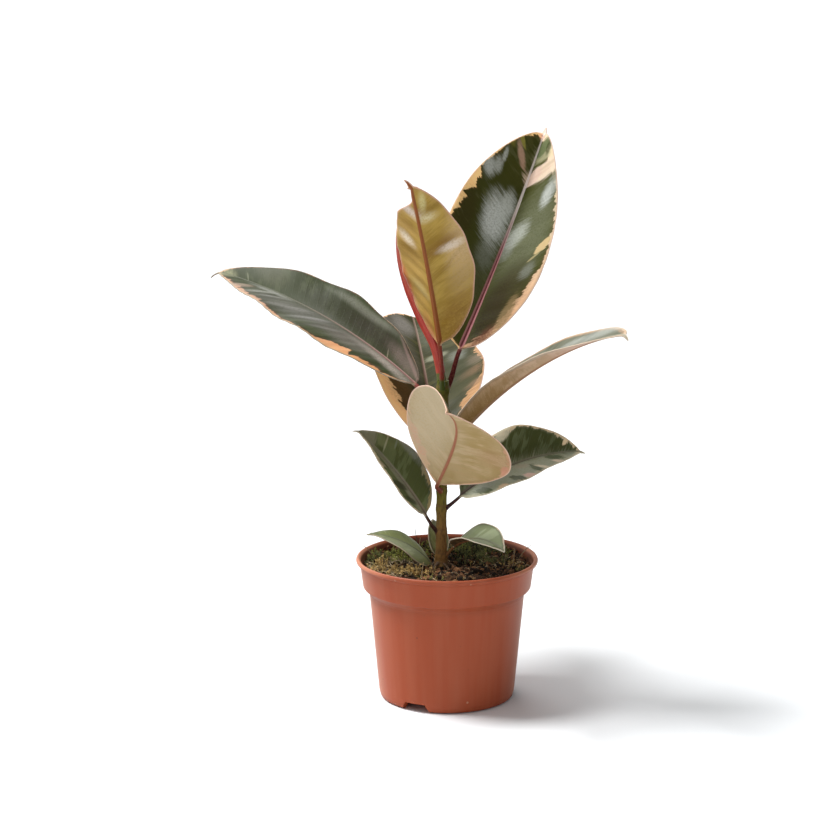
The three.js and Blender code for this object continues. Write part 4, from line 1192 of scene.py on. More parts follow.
def soil_material(name, settings, tinted):
    """Peat, tinted by piece or by noise."""
    material, t, shader = new_material(name, **{"Roughness": 0.95, "Specular IOR Level": 0.25})
    place = t.place()
    if tinted:
        share = t.math("POWER", t.attribute("tint", "Fac"), 2.5)
        share = t.times(share, t.zone(t.split(place)[1], (-46, -20, 0.25, 1)))
    else:
        share = t.ramp(t.noise(place, 260, 4, 0.65), 0.45, 0.85)
    grain = t.noise(place, 1500, 3, 0.7)
    tone = t.mix(share, tuple(settings.dark), tuple(settings.brown))
    tone = t.mix(t.ramp(grain, 0.3, 0.75, 0, 0.5), tone, PEAT["pores"])
    tone = t.mix(t.ramp(t.noise(place, 90, 2), 0.5, 0.7, 0, 0.4), tone, PEAT["red"])
    t.feed(shader["Base Color"], tone)
    bump(t, shader, grain, 0.8, 0.0006)
    return material


def tinted_material(name, low, high):
    material, t, shader = new_material(name, **{"Roughness": 0.7})
    grain = t.noise(t.place(), 1100, 2)
    share = t.math("ADD", t.attribute("tint", "Fac"), t.ramp(grain, 0.3, 0.7, -0.2, 0.2), clamp=True)
    t.feed(shader["Base Color"], t.mix(share, low, high))
    bump(t, shader, grain, 0.4, 0.0002)
    return material


def stem_material(settings):
    material, t, shader = new_material("Stem bark", **{"Specular IOR Level": 0.15})
    place = t.place()
    x, y, z = t.split(place)
    streak = t.noise(t.xyz(x, y, t.times(z, 0.22)), 900, 4, 0.65)
    cloud = t.noise(place, 90, 3)
    fresh = t.plus(z, t.times_plus(cloud, 20 * MM, -10 * MM))
    tone = t.mix(t.zone(fresh, (198, 212)), tuple(settings.olive), tuple(settings.green))
    tone = t.mix(t.zone(fresh, (112, 136, 1, 0)), tone, tuple(settings.bark))
    tone = t.mix(t.ramp(streak, 0.45, 0.7, 0, 0.7), tone, BARK["cracks"])
    pale = t.times(t.ramp(cloud, 0.5, 0.72), t.ramp(streak, 0.3, 0.55))
    tone = t.mix(t.times(pale, 0.4), tone, BARK["pale"])
    tone = t.mix(t.times(t.attribute("scar", "Fac"), 0.7), tone, BARK["scar"])
    t.feed(shader["Base Color"], tone)
    t.feed(shader["Roughness"], t.zone(fresh, (110, 210, 0.75, 0.42)))
    bump(t, shader, streak, t.zone(fresh, (110, 200, 0.6, 0.15)), 0.0004)
    return material


def sheath_material(settings):
    material, t, shader = new_material("Bud red", **{"Coat Roughness": 0.25})
    u, v, _ = t.split(t.attribute("place", "Vector"))
    streak = t.noise(t.xyz(t.times(u, 7), t.times(v, 1.6), 2), 1, 3, 0.6)
    cloud = t.noise(t.place(), 60, 2)
    tone = t.mix(t.ramp(streak, 0.35, 0.7, 0, 0.55), tuple(settings.sheath), BUD["orange"])
    tone = t.mix(t.ramp(cloud, 0.45, 0.7, 0, 0.5), tone, BUD["crimson"])
    seam = t.ramp(t.unsigned(t.minus(u, SHEATH["seam"])), 0.0, 0.035, 1, 0)
    tone = t.mix(t.times(seam, 0.6), tone, BUD["seam"])
    tone = t.mix(t.ramp(v, 0.93, 1.0, 0, 0.6), tone, BUD["tip"])
    tone = t.mix(t.ramp(v, 0.065, 0.085, 1, 0), tone, tuple(settings.green))
    t.feed(shader["Base Color"], tone)
    t.feed(shader["Roughness"], t.ramp(streak, 0.3, 0.7, 0.36, 0.5))
    t.feed(shader["Coat Weight"], t.ramp(cloud, 0.3, 0.7, 0.1, 0.3))
    bump(t, shader, streak, 0.25, 0.0003)
    return material


class LeafPaint:
    """The steps of one leaf's finish, and the sockets that they share."""

    def __init__(self, t, look, length):
        self.t = t
        self.look = look
        self.place = t.attribute("leaf_place", "Vector")
        self.edge = t.attribute("leaf_edge", "Fac")
        self.x, self.y, _ = t.split(self.place)
        self.share = t.over(self.y, length)
        self.on_left = t.math("GREATER_THAN", self.x, 0)
        self.pattern = t.group("Leaf pattern", {
            "Place": self.place, "Edge": self.edge, "Length": length, "Seed": look["seed"],
            "Width": self.margin_width(), "Teeth": look["teeth"], "Inner": look["inner"][1],
            "Slant": SLANT, "Rib": look["rib_width"],
        })

    def margin_width(self):
        t = self.t
        left, right = (
            t.curve(self.share, [(at / rows[-1][0], mm) for at, mm in rows], WIDEST_MARGIN)
            for rows in (self.look["left"], self.look["right"])
        )
        return t.times_plus(self.on_left, t.minus(left, right), right)

    def margin_colours(self, cream):
        t, look = self.t, self.look
        pale = t.mix(t.ramp(self.share, 0.1, 0.75), *map(linear, look["band"]))
        warm = t.mix(self.on_left, pale, linear(look["band_left"])) if look["band_left"] else pale
        streaks = t.ramp(self.pattern["Streak"], 0.3, 0.7, 0, 0.4)
        for share in (streaks, t.ramp(self.edge, 0.6, 2.4, 0.3, 0)):
            pale = t.mix(share, pale, cream)
            warm = t.mix(share, warm, cream)
        return pale, warm

    def upper_face(self, margin):
        t, look, pattern = self.t, self.look, self.pattern
        low, high, start = look["greens"]
        tone = t.mix(t.ramp(pattern["Marble"], start, start + 0.08), linear(low), linear(high))
        tone = t.mix(t.ramp(pattern["Cloud"], 0.3, 0.7, 0, 0.3), tone, linear(low))
        tone = t.mix(t.times(pattern["Inner"], 0.8), tone, linear(look["inner"][0]))
        tone = t.mix(t.times(pattern["Ridge"], look["veins"]), tone, LEAF["vein"])
        tone = self.patched(t.mix(pattern["Band"], tone, margin), look["spots"])
        turn = t.ramp(self.share, *look["rib_turn"])
        for part, strength in (("Rib", 0.85), ("Core", 0.7)):
            colour = t.mix(turn, *map(linear, look[part.lower()]))
            tone = t.mix(t.times(pattern[part], strength), tone, colour)
        return tone

    def lower_face(self, margin):
        t, look, pattern = self.t, self.look, self.pattern
        one, two, three = map(linear, look["under"])
        tone = t.mix(t.ramp(pattern["Marble"], 0.42, 0.6), one, two)
        tone = t.mix(t.ramp(pattern["Cloud"], 0.35, 0.7, 0, 0.5), tone, two)
        tone = t.mix(t.times(pattern["Inner"], 0.5), tone, linear(look["inner"][0]))
        tone = t.mix(t.times(pattern["Vein"], 0.25), tone, three)
        tone = self.patched(t.mix(t.times(pattern["Band"], 0.85), tone, margin), look["under_spots"])
        return t.mix(pattern["Rib"], tone, linear(look["under_rib"]))

    def patched(self, tone, patches):
        for x, y, wide, tall, colour, lean, teeth, soft, strength in patches:
            mask = self.t.group("Leaf patch", {
                "Place": self.place, "Vein place": self.pattern["Vein place"],
                "Streak": self.pattern["Streak"], "Grain": self.pattern["Grain"],
                "Across": float(x), "Along": y - SLANT * abs(x), "Half across": float(wide),
                "Half along": float(tall), "Lean": float(lean), "Teeth": float(teeth),
                "Softness": float(soft),
            })["Mask"]
            tone = self.t.mix(self.t.times(mask, strength), tone, linear(colour))
        return tone

    def edged(self, tone):
        t = self.t
        tone = t.mix(t.ramp(self.pattern["Grain"], 0.5, 0.8, 0, 0.14), tone, LEAF["pores"])
        return t.mix(t.ramp(self.edge, 0.25, 0.75, 0.9, 0), tone, linear(self.look["edge"]))

    def stalked(self, tone):
        t = self.t
        near_rib = t.ramp(t.unsigned(self.x), 1.2, 3.5, 1, 0)
        grain = t.noise(t.place(), 700, 3)
        stalk = t.mix(t.ramp(grain, 0.35, 0.7, 0, 0.4), linear(self.look["stalk"]), LEAF["stalk"])
        tone = t.mix(t.times(t.ramp(self.y, -4, 7, 1, 0), near_rib), tone, stalk)
        if self.look["foot"]:
            colour, top = self.look["foot"]
            tone = t.mix(t.ramp(self.y, top - 3, top, 1, 0), tone, linear(colour))
        return tone

    def painted_margin_glow(self, margin):
        # Painted light: emission on the upper face's left margin, standing in for light that falls through
        # it.
        t, pattern = self.t, self.pattern
        above = t.ramp(pattern["Under"], 0.35, 0.65, 1, 0)
        return t.mix(t.times(t.times(pattern["Band"], self.on_left), above), (0, 0, 0), margin)


def leaf_material(name, shared):
    look = {**COMMON_LOOK, **LOOKS[name]}
    material, t, shader = new_material("Blade " + name[-2:], **{
        "Coat Roughness": 0.22, "Specular IOR Level": look["shine"], "Emission Strength": look["glow"],
    })
    paint = LeafPaint(t, look, float(LEAVES[name]["length"]))
    pattern = paint.pattern
    pale, warm = paint.margin_colours(tuple(shared.cream))
    tone = t.mix(t.ramp(pattern["Under"], 0.35, 0.65), paint.upper_face(warm), paint.lower_face(pale))
    t.feed(shader["Base Color"], paint.stalked(paint.edged(tone)))
    # A painted glow on the left margin, as emission.
    if look["glow"]:
        t.feed(shader["Emission Color"], paint.painted_margin_glow(warm))
    gloss = t.ramp(pattern["Cloud"], 0.3, 0.7, look["roughness"], look["roughness"] + 0.1)
    t.feed(shader["Roughness"], t.times_plus(pattern["Under"], 0.06, gloss))
    t.feed(shader["Coat Weight"], t.ramp(pattern["Streak"], 0.2, 0.8, look["coat"], look["coat"] * 0.6))
    bump(t, shader, pattern["Vein"], 0.35, 0.00022)
    return material


def blade_frames(leaf, t, lowered=0.0):
    """Forward, left and up of the midrib at shares t."""
    t = np.asarray(t, float)
    rise = np.radians(leaf["rise"][0] - leaf["rise"][1] * t - lowered)
    bearing = np.radians(leaf["bearing"][0] + leaf["bearing"][1] * t)
    roll = np.radians(leaf["roll"][0] + leaf["roll"][1] * t)
    forward = np.stack([np.cos(rise) * np.cos(bearing), np.cos(rise) * np.sin(bearing), np.sin(rise)], -1)
    level = np.stack([-np.sin(bearing), np.cos(bearing), np.zeros_like(bearing)], -1)
    normal = np.cross(forward, level)
    side = level * np.cos(roll)[..., None] + normal * np.sin(roll)[..., None]
    up = np.cross(forward, side)
    return forward, side, up


def midrib(leaf, t):
    middle = (np.arange(MIDRIB_STEPS) + 0.5) / MIDRIB_STEPS
    forward = blade_frames(leaf, t[:, None] * middle)[0]
    return np.array(leaf["base"], float) + forward.sum(1) * (leaf["length"] * t / MIDRIB_STEPS)[:, None]


def half_width(leaf, t):
    """Half width at shares t, without neck and drip tip."""
    shoulder, fullness = leaf["shape"]
    bow = np.sin(np.pi * np.clip(t, 0, 1) ** shoulder)
    return leaf["width"] / 2 * np.maximum(bow, 0) ** fullness


def blade_columns():
    """Shares of rib and wing for the columns from midrib to margin."""
    ribs = np.linspace(0, 1, RIB["columns"])
    wings = np.linspace(0, 1, WING["columns"] + 1)[1:]
    wings = wings * (1 - WING["crowding"] * (1 - wings))
    return np.concatenate([ribs, np.ones(len(wings))]), np.concatenate([np.zeros(len(ribs)), wings])


def wrapped(middle, upper, lower):
    """Each row as one loop, over the upper face and back under the lower one."""
    return np.concatenate([middle[:, :1], upper, middle[:, -1:], lower[:, ::-1]], axis=1)


class LeafShape:
    """Stalk, blade and drip tip of one leaf as one skin of rings.

    placed: flat coordinates of the points, then 0 above and 1 below. edge: how far from the outline.
    """

    def __init__(self, leaf, thickness):
        self.leaf = leaf
        self.set_rows()
        self.follow_midrib()
        self.set_widths()
        self.set_columns()
        self.fold()
        self.ruffle()
        blade = self.faces(thickness)
        down = np.broadcast_to(self.y[:, None], self.distance.shape)
        flat = np.stack([self.hand * self.distance, down], -1)
        sections, stalk, stalk_flat = self.stalk()

        # The first few rows of the blade turn from the stalk's round section to the flat one.
        start = self.centre[:, None] + sections[-1]
        flatness = eased(self.y, 0, STALK["blend"])[:, None, None]
        self.rings = np.concatenate([stalk, start + (blade - start) * flatness])

        flats = np.concatenate([stalk_flat, wrapped(flat, flat, flat)])
        faces = len(self.hand)
        under = np.concatenate([[0.5], np.zeros(faces), [0.5], np.ones(faces)])
        unders = np.broadcast_to(under, flats.shape[:2])
        self.placed = np.concatenate([flats, unders[..., None]], -1)
        self.edge = distance_to_line(flats.reshape(-1, 2), self.outline()).reshape(flats.shape[:2])
        self.edge[:len(stalk)] = STALK["edge"]

    def set_rows(self):
        length, drip = self.leaf["length"], self.leaf["drip"][0]
        self.end = BLADE["end"] * length
        even = np.linspace(0, 1, self.leaf["rows"])
        self.y = (self.end + drip) * (even - BLADE["crowding"] * np.sin(2 * np.pi * even) / (2 * np.pi))
        self.t = np.minimum(self.y / length, 1)
        self.past = np.clip((self.y - self.end) / drip, 0, 1)
        self.beyond = self.y > self.end

    def follow_midrib(self):
        """Centre and directions of each row. The drip tip bends down."""
        y, beyond = self.y, self.beyond
        self.centre = midrib(self.leaf, np.minimum(y, self.end) / self.leaf["length"])
        droop = self.leaf["drip"][1] * np.minimum(self.past + DRIP["ahead"], 1) * beyond
        self.forward, self.side, self.up = blade_frames(self.leaf, np.where(beyond, 1.0, self.t), droop)
        for k in np.flatnonzero(beyond):
            start = self.centre[k - 1] if beyond[k - 1] else self.centre[k]
            step = y[k] - max(y[k - 1], self.end)
            self.centre[k] = start + self.forward[k] * step

    def set_widths(self):
        leaf, y = self.leaf, self.y
        neck = BLADE["neck"] * leaf["foot"][3] * (1 - eased(y, 0, BLADE["neck_length"]))
        pointed = np.where(
            self.beyond, DRIP["root"] + (DRIP["end"] - DRIP["root"]) * self.past,
            DRIP["root"] * eased(y, DRIP["from"] * leaf["length"], self.end),
        )
        self.reach = np.sqrt(half_width(leaf, y / leaf["length"]) ** 2 + neck ** 2 + pointed ** 2)
        rib = RIB["spread"] * RIB["half"] * (1 - RIB["taper"] * self.t)
        self.rib_half = np.minimum(rib, RIB["most"] * self.reach)

    def set_columns(self):
        """Columns from left edge to right, and their distance from the midrib."""
        rib_share, wing_share = blade_columns()
        count = len(rib_share)
        order = np.concatenate([np.arange(count)[::-1], np.arange(1, count)])
        self.hand = np.concatenate([np.ones(count), -np.ones(count - 1)])
        self.rib_share = rib_share[order]
        self.wing_share = wing_share[order]
        narrowing = eased(self.t, *self.leaf.get("pinch", NO_PINCH))[:, None]
        pinch = 1 - BLADE["pinch_depth"] * narrowing * (self.hand < 0) * (self.y < self.end)[:, None]
        self.side_reach = self.reach[:, None] * pinch
        side_rib = np.minimum(self.rib_half[:, None], RIB["most"] * self.side_reach)
        self.distance = side_rib * self.rib_share + (self.side_reach - side_rib) * self.wing_share
        self.share = self.distance / self.side_reach

    def fold(self):
        leaf, hand = self.leaf, self.hand
        t, past = self.t[:, None], self.past[:, None]
        start = np.radians(leaf["fold"] + leaf["spread"] * t + hand * leaf["bias"])
        start = start + (math.radians(DRIP["fold"]) - start) * eased(past, 0, DRIP["folded"])
        bend = np.radians(leaf["curl"]) / self.side_reach * (1 - past)
        middle = (np.arange(CURL_STEPS) + 0.5) / CURL_STEPS
        leans = start[..., None] - (bend * self.distance)[..., None] * middle
        size, count, phase = leaf["wave"]
        ripple = np.sin(2 * np.pi * count * t + phase + hand) * np.sin(np.pi * t)
        out = hand * np.cos(leans).mean(-1) * self.distance
        lift = np.sin(leans).mean(-1) * self.distance
        lift = lift + size * self.share ** WING["ripple_power"] * ripple * (1 - past)
        lean = (hand * (start - bend * self.distance))[..., None]
        side, up = self.side[:, None], self.up[:, None]
        self.normal = up * np.cos(lean) - side * np.sin(lean)
        self.body = self.centre[:, None] + side * out[..., None] + up * lift[..., None]

    def ruffle(self):
        """Raises soft folds along the side veins, and slow bulges."""
        left, right, pitch = self.leaf["folds"]
        phase = self.leaf["wave"][2]
        y, hand = self.y[:, None], self.hand
        vein = y - FOLDS["slant"] * self.distance
        drift = np.sin(vein / FOLDS["drift_pitch"] + hand * FOLDS["drift_shift"] + phase) * FOLDS["drift"]
        folds = np.sin(2 * np.pi * vein / pitch + drift + hand)
        folds = folds * eased(self.share, *FOLDS["full"]) * (1 - FOLDS["fade"] * self.share)
        bulge = np.sin(y / FOLDS["bulge_pitch"] + hand * 2 + phase) * np.sin(np.pi * self.share)
        bulge = bulge * min(1, self.leaf["length"] / FOLDS["bulge_length"])
        ends = np.sin(np.pi * np.clip(y / self.end, 0, 1)) ** 0.5
        height = (np.where(hand > 0, left, right) * folds + FOLDS["bulge"] * bulge) * ends
        self.body = self.body + self.normal * height[..., None]

    def faces(self, thickness):
        """The blade's loops, with a groove over the midrib and a ridge under it."""
        reach, distance = self.reach[:, None], self.distance
        half = thickness / 2 * (1 - WING["thinning"] * eased(self.share, *WING["thin"]))
        half = half * (1 - DRIP["thinning"] * self.past[:, None])
        half = np.minimum(half, WING["thickest"] * reach)
        scale = ((1 - RIB["fade"] * self.t) * min(1, self.leaf["length"] / RIB["full_length"]))[:, None]
        near = np.clip(distance / self.rib_half[:, None], 0, 1)
        drop = RIB["height"] * scale * np.cos(np.pi / 2 * near) ** RIB["power"]
        banks = GROOVE["bank"] * np.exp(-((distance - GROOVE["bank_place"]) / GROOVE["bank_half"]) ** 2)
        groove = GROOVE["depth"] * scale * (np.exp(-(distance / GROOVE["half"]) ** 2) - banks)
        inset = np.minimum(WING["inset"], WING["inset_most"] * reach) * (self.wing_share == 1)
        tucked = self.body - self.side[:, None] * (self.hand * inset)[..., None]
        upper = tucked + self.normal * (half - groove)[..., None]
        lower = tucked - self.normal * (half + drop)[..., None]
        return wrapped(self.body, upper, lower)

    def stalk(self):
        height, bearing, rise, radius = self.leaf["foot"]
        outward = np.array([math.cos(math.radians(bearing)), math.sin(math.radians(bearing)), 0])
        leave = outward * math.cos(math.radians(rise)) + np.array([0, 0, math.sin(math.radians(rise))])
        foot = np.array([along(STEM_AXIS, height, 1), along(STEM_AXIS, height, 2), height])
        foot = foot + outward * (along(STEM_RADIUS, height) - radius)
        base = np.array(self.leaf["base"], float)
        span = np.linalg.norm(base - foot)
        leaving = foot + leave * span * STALK["pull"]
        arriving = base - self.forward[0] * span * STALK["pull"]
        s = np.linspace(0, 1, STALK["rows"])
        points, heading = bezier(s, foot, leaving, arriving, base)
        left = unit(self.side[0] - heading * (heading @ self.side[0])[:, None])
        top = np.cross(heading, left)
        collar = STALK["collar"] * np.exp(-(s * span / STALK["collar_length"]) ** 2)
        around = radius * (1 - STALK["taper"] * np.sin(np.pi * s / 2)) + collar
        angles = self.stalk_angles()
        circle = left[:, None] * np.cos(angles)[:, None] + top[:, None] * np.sin(angles)[:, None]
        channel = STALK["channel"] * radius * np.exp(-((angles - np.pi / 2) / STALK["channel_half"]) ** 2)
        channel = channel * eased(s, *STALK["channelled"])[:, None]
        sections = circle * (around[:, None] - channel)[..., None]
        across = around[:, None] * np.cos(angles)
        down = np.broadcast_to(((s - 1) * span)[:, None], across.shape)
        flat = np.stack([across, down], -1)
        return sections, (points[:, None] + sections)[:-1], flat[:-1]

    def stalk_angles(self):
        """Angle round the stalk of each point of a loop."""
        turned = STALK["rib_part"] * self.rib_share + STALK["wing_part"] * self.wing_share
        turn = np.radians(90 - STALK["turn"] * turned)
        angles = np.where(self.hand > 0, turn, np.pi - turn)
        return np.concatenate([[0], angles, [np.pi], -angles[::-1]])

    def outline(self):
        tip = np.array([[0, self.end + self.leaf["drip"][0]]])
        right = np.stack([-self.side_reach[:, -1], self.y], -1)
        return np.concatenate([np.stack([self.reach, self.y], -1), tip, right[::-1]])


class PLANT_OT_pot(bpy.types.Operator):
    """Spin the pot's profile, and cut its notches and drain holes"""

    bl_idname = "rubber_plant.pot"
    bl_label = "Pot"

    def execute(self, context):
        settings = context.scene.rubber_plant.pot
        pot = self.wall(settings)
        cutters = [self.notch(NOTCH["bearing"] + 360 / NOTCH["count"] * i) for i in range(NOTCH["count"])]
        cutters += [self.drain(2 * math.pi * (i + 0.5) / DRAIN["count"]) for i in range(DRAIN["count"])]
        for cutter in cutters:
            apply_modifier(pot, "BOOLEAN", object=cutter, operation="DIFFERENCE", solver="EXACT")
            bpy.data.objects.remove(cutter)
        smooth(pot, CREASE["pot"])
        dress(pot, plastic_material(settings), "pot_plastic", "pot")
        return {"FINISHED"}

    def wall(self, settings):
        """The profile, spun round the pot's axis."""
        profile = rounded(POT_PROFILE, settings.rounding / MM)
        pot = primitive("nursery_pot", bpy.ops.mesh.primitive_plane_add, size=START_SIZE, location=(0, 0, 0))
        bpy.ops.object.mode_set(mode="EDIT")
        bpy.ops.mesh.select_all(action="SELECT")
        bpy.ops.mesh.merge(type="CENTER")
        here = Vector((profile[0][0], 0, profile[0][1])) * MM
        bpy.ops.transform.translate(value=here)
        for r, z in profile[1:]:
            there = Vector((r, 0, z)) * MM
            bpy.ops.mesh.extrude_vertices_move(TRANSFORM_OT_translate={"value": there - here})
            here = there
        bpy.ops.mesh.select_all(action="SELECT")
        bpy.ops.mesh.spin(steps=settings.sides, angle=2 * math.pi, center=(0, 0, 0), axis=(0, 0, 1))
        close_skin(SAME_POINT["pot"])
        return pot

    def notch(self, bearing):
        cutter = primitive("notch", bpy.ops.mesh.primitive_cube_add, size=START_SIZE)
        points = []
        for v in cutter.data.vertices:
            low = v.co.z < 0
            angle = math.radians(bearing + math.copysign(NOTCH["foot"] if low else NOTCH["top"], v.co.y))
            r = NOTCH["outer"] if v.co.x > 0 else NOTCH["inner"]
            height = NOTCH["under"] if low else NOTCH["height"]
            points.append((r * math.cos(angle), r * math.sin(angle), height))
        set_points(cutter, points)
        return cutter

    def drain(self, angle):
        x, y = DRAIN["circle"] * math.cos(angle), DRAIN["circle"] * math.sin(angle)
        place = [x * MM, y * MM, DRAIN["level"] * MM]
        return settle(primitive(
            "drain", bpy.ops.mesh.primitive_cylinder_add,
            vertices=DRAIN["sides"], radius=DRAIN["radius"] * MM, depth=DRAIN["depth"] * MM, location=place,
        ))


class PLANT_OT_soil(bpy.types.Operator):
    """Shape the bed of peat"""

    bl_idname = "rubber_plant.soil"
    bl_label = "Soil bed"

    def execute(self, context):
        settings = context.scene.rubber_plant.soil
        angles = np.linspace(0, 2 * np.pi, BED["sides"], endpoint=False)
        rings = [
            [self.top_point(r, angle) for angle in angles]
            for r in np.linspace(BED["middle"], SOIL["rim"], BED["rows"])
        ]
        for r, z in SOIL_SIDE:
            rings.append([(r * math.cos(angle), r * math.sin(angle), z) for angle in angles])
        bed = sewn_skin("peat_bed", np.array(rings))
        smooth(bed)
        dress(bed, soil_material("Peat", settings, False), "soil", "soil")
        return {"FINISHED"}

    def top_point(self, r, angle):
        """A point of the top, calmer near the wall."""
        x, y = r * math.cos(angle), r * math.sin(angle)
        rough = noise.fractal(Vector((x, y, 0)) * 0.22, 0.9, 2.1, 4) * BED["coarse"]
        rough += noise.noise(Vector((x, y, 7)) * 0.9) * BED["fine"]
        calm = min(1, (SOIL["rim"] - r) / BED["calm"] + BED["calmest"])
        return x, y, soil_level(x, y) + rough * calm


class PLANT_OT_crumbs(bpy.types.Operator):
    """Strew peat crumbs and pale grit on the bed"""

    bl_idname = "rubber_plant.crumbs"
    bl_label = "Peat crumbs"

    def execute(self, context):
        settings = context.scene.rubber_plant.soil
        rng = random.Random(settings.seed)
        crumb = self.lump("crumb", 0.32, 4)
        crumbs = joined("peat_crumbs", crumb, scattered(rng, CRUMBS, lean=math.pi, flat=0.5, sink=0))
        dress(crumbs, soil_material("Peat crumbs", settings, True), "soil")
        grain = self.lump("grain", 0.2, 9)
        grit = joined("pale_grit", grain, scattered(rng, GRIT, lean=math.pi, flat=0.5, sink=-0.9))
        dress(grit, tinted_material("Grit", LITTER["dull grit"], tuple(settings.grit)), "soil")
        return {"FINISHED"}

    def lump(self, name, offset, seed):
        lump = primitive(
            name, bpy.ops.mesh.primitive_ico_sphere_add, subdivisions=1, radius=1, location=(0, 0, 0),
        )
        bpy.ops.object.mode_set(mode="EDIT")
        bpy.ops.mesh.select_all(action="SELECT")
        bpy.ops.transform.vertex_random(offset=offset, seed=seed)
        bpy.ops.object.mode_set(mode="OBJECT")
        return lump


class PLANT_OT_moss(bpy.types.Operator):
    """Plant the sprigs of golden, green and dark moss"""

    bl_idname = "rubber_plant.moss"
    bl_label = "Moss"

    def execute(self, context):
        settings = context.scene.rubber_plant.soil
        rng = random.Random(settings.seed + 1)
        for kind, rows in MOSS.items():
            form = SPRIGS[kind]
            colour = tuple(getattr(settings, "moss_" + kind))
            copies = scattered(rng, rows, lean=math.radians(form["lean"]))
            moss = joined("moss_" + kind, self.sprig(form), copies, SPRIG["shade"])
            low = tuple(SPRIG["dark"] * c for c in colour)
            dress(moss, tinted_material("Moss " + kind, low, colour), "soil")
        return {"FINISHED"}

    def sprig(self, form):
        """A thin stalk, one unit tall, with leaves in a spiral."""
        sprig = settle(primitive(
            "sprig", bpy.ops.mesh.primitive_cone_add,
            vertices=4, radius1=SPRIG["foot"], radius2=SPRIG["top"], depth=1, location=(0, 0, 0.5),
        ))
        bpy.ops.object.mode_set(mode="EDIT")
        for i in range(form["leaves"]):
            height = SPRIG["lowest"] + SPRIG["leafy"] * i / (form["leaves"] - 1)
            way = i * SPRIG["turn"]
            out = Vector((math.cos(way), math.sin(way), form["lift"])).normalized()
            reach = form["length"] * (SPRIG["longest"] - SPRIG["shortening"] * height)
            bpy.ops.mesh.primitive_cone_add(
                vertices=3, radius1=form["girth"], radius2=0, depth=reach,
                location=Vector((0, 0, height)) + out * reach / 2,
                rotation=out.to_track_quat("Z", "Y").to_euler(),
            )
        bpy.ops.object.mode_set(mode="OBJECT")
        return sprig


class PLANT_OT_rootlets(bpy.types.Operator):
    """Lay the stalks, straws and rootlets on the soil"""

    bl_idname = "rubber_plant.rootlets"
    bl_label = "Stalks and rootlets"

    def execute(self, context):
        settings = context.scene.rubber_plant.soil
        rng = random.Random(settings.seed + 2)
        straw = tinted_material("Rootlets", LITTER["dark straw"], tuple(settings.grit))
        old = tinted_material("Old roots", LITTER["dark root"], LITTER["pale root"])
        for i, (tone, foot, end, path) in enumerate(STRANDS):
            root = strand("strand_%02d" % (i + 1), path, foot, end)
            add_attribute(root, "tint", [tone] * len(root.data.vertices))
            smooth(root)
            dress(root, old if foot >= OLD_ROOT else straw, "soil")
        fibre = strand("fibre", *FIBRE)
        fibres = joined("fibres", fibre, scattered(rng, FIBRES, lean=0.35, sink=-0.06))
        thin = tinted_material("Fine fibres", LITTER["dark fibre"], LITTER["pale fibre"])
        dress(fibres, thin, "soil")
        return {"FINISHED"}


class PLANT_OT_stem(bpy.types.Operator):
    """Raise the stem with its bark and leaf scars"""

    bl_idname = "rubber_plant.stem"
    bl_label = "Stem"

    def execute(self, context):
        settings = context.scene.rubber_plant.stem
        heights = np.arange(STEM_AXIS[0][0], STEM_AXIS[-1][0] + 0.01, STEM["step"])
        axis_x = self.blurred(STEM_AXIS, heights, 1)
        axis_y = self.blurred(STEM_AXIS, heights, 2)
        radius, scar = self.with_scars(heights, self.blurred(STEM_RADIUS, heights, 1))
        rings = []
        for x, y, z, r in zip(axis_x, axis_y, heights, radius):
            bark = STEM["bark"] * (1 - eased(z, *STEM["smooth"])) + STEM["least_bark"]
            rings.append([self.bark_point(x, y, z, r, bark, k) for k in range(STEM["sides"])])
        scars = np.repeat(scar[:, None], STEM["sides"], axis=1)
        stem = sewn_skin("bark_stem", np.array(rings), {"scar": scars})
        smooth(stem)
        dress(stem, stem_material(settings), "stem_bark", "stem")
        return {"FINISHED"}

    def blurred(self, table, heights, column):
        """A column of a table, without its corners."""
        spread = np.linspace(-STEM["blur"], STEM["blur"], 9)
        return np.mean([along(table, heights + d, column) for d in spread], 0)

    def with_scars(self, heights, radius):
        """The radius with a swelling at each leaf, and how much a height is ring."""
        scar = np.zeros_like(heights)
        for leaf in LEAVES.values():
            above = heights - leaf["foot"][0]
            radius = radius + SCAR["swelling"] * np.exp(-(above / SCAR["spread"]) ** 2)
            ring = np.exp(-((above - SCAR["ring_place"]) / SCAR["ring_half"]) ** 2)
            radius = radius + SCAR["ring"] * ring
            scar = np.maximum(scar, ring)
        return radius, scar

    def bark_point(self, x, y, z, r, bark, k):
        """Point k of a ring, roughened like bark."""
        a = 2 * math.pi * k / STEM["sides"]
        cut = noise.noise(Vector((math.cos(a) * 3, math.sin(a) * 3, z * 0.12))) * bark
        cut += noise.noise(Vector((math.cos(a) * 8, math.sin(a) * 8, z * 0.3))) * bark * 0.6
        return x + (r + cut) * math.cos(a), y + (r + cut) * math.sin(a), z


class PLANT_OT_leaves(bpy.types.Operator):
    """Grow every leaf: its stalk, blade and drip tip"""

    bl_idname = "rubber_plant.leaves"
    bl_label = "Leaves"

    def execute(self, context):
        settings = context.scene.rubber_plant.leaf
        for name, leaf in LEAVES.items():
            shape = LeafShape(leaf, settings.thickness / MM)
            attributes = {"leaf_place": shape.placed, "leaf_edge": shape.edge}
            blade = sewn_skin(name.replace("leaf", "blade"), shape.rings, attributes)
            smooth(blade, CREASE["leaf"])
            dress(blade, leaf_material(name, settings), LOOKS[name].get("slot", COMMON_LOOK["slot"]), name)
        return {"FINISHED"}


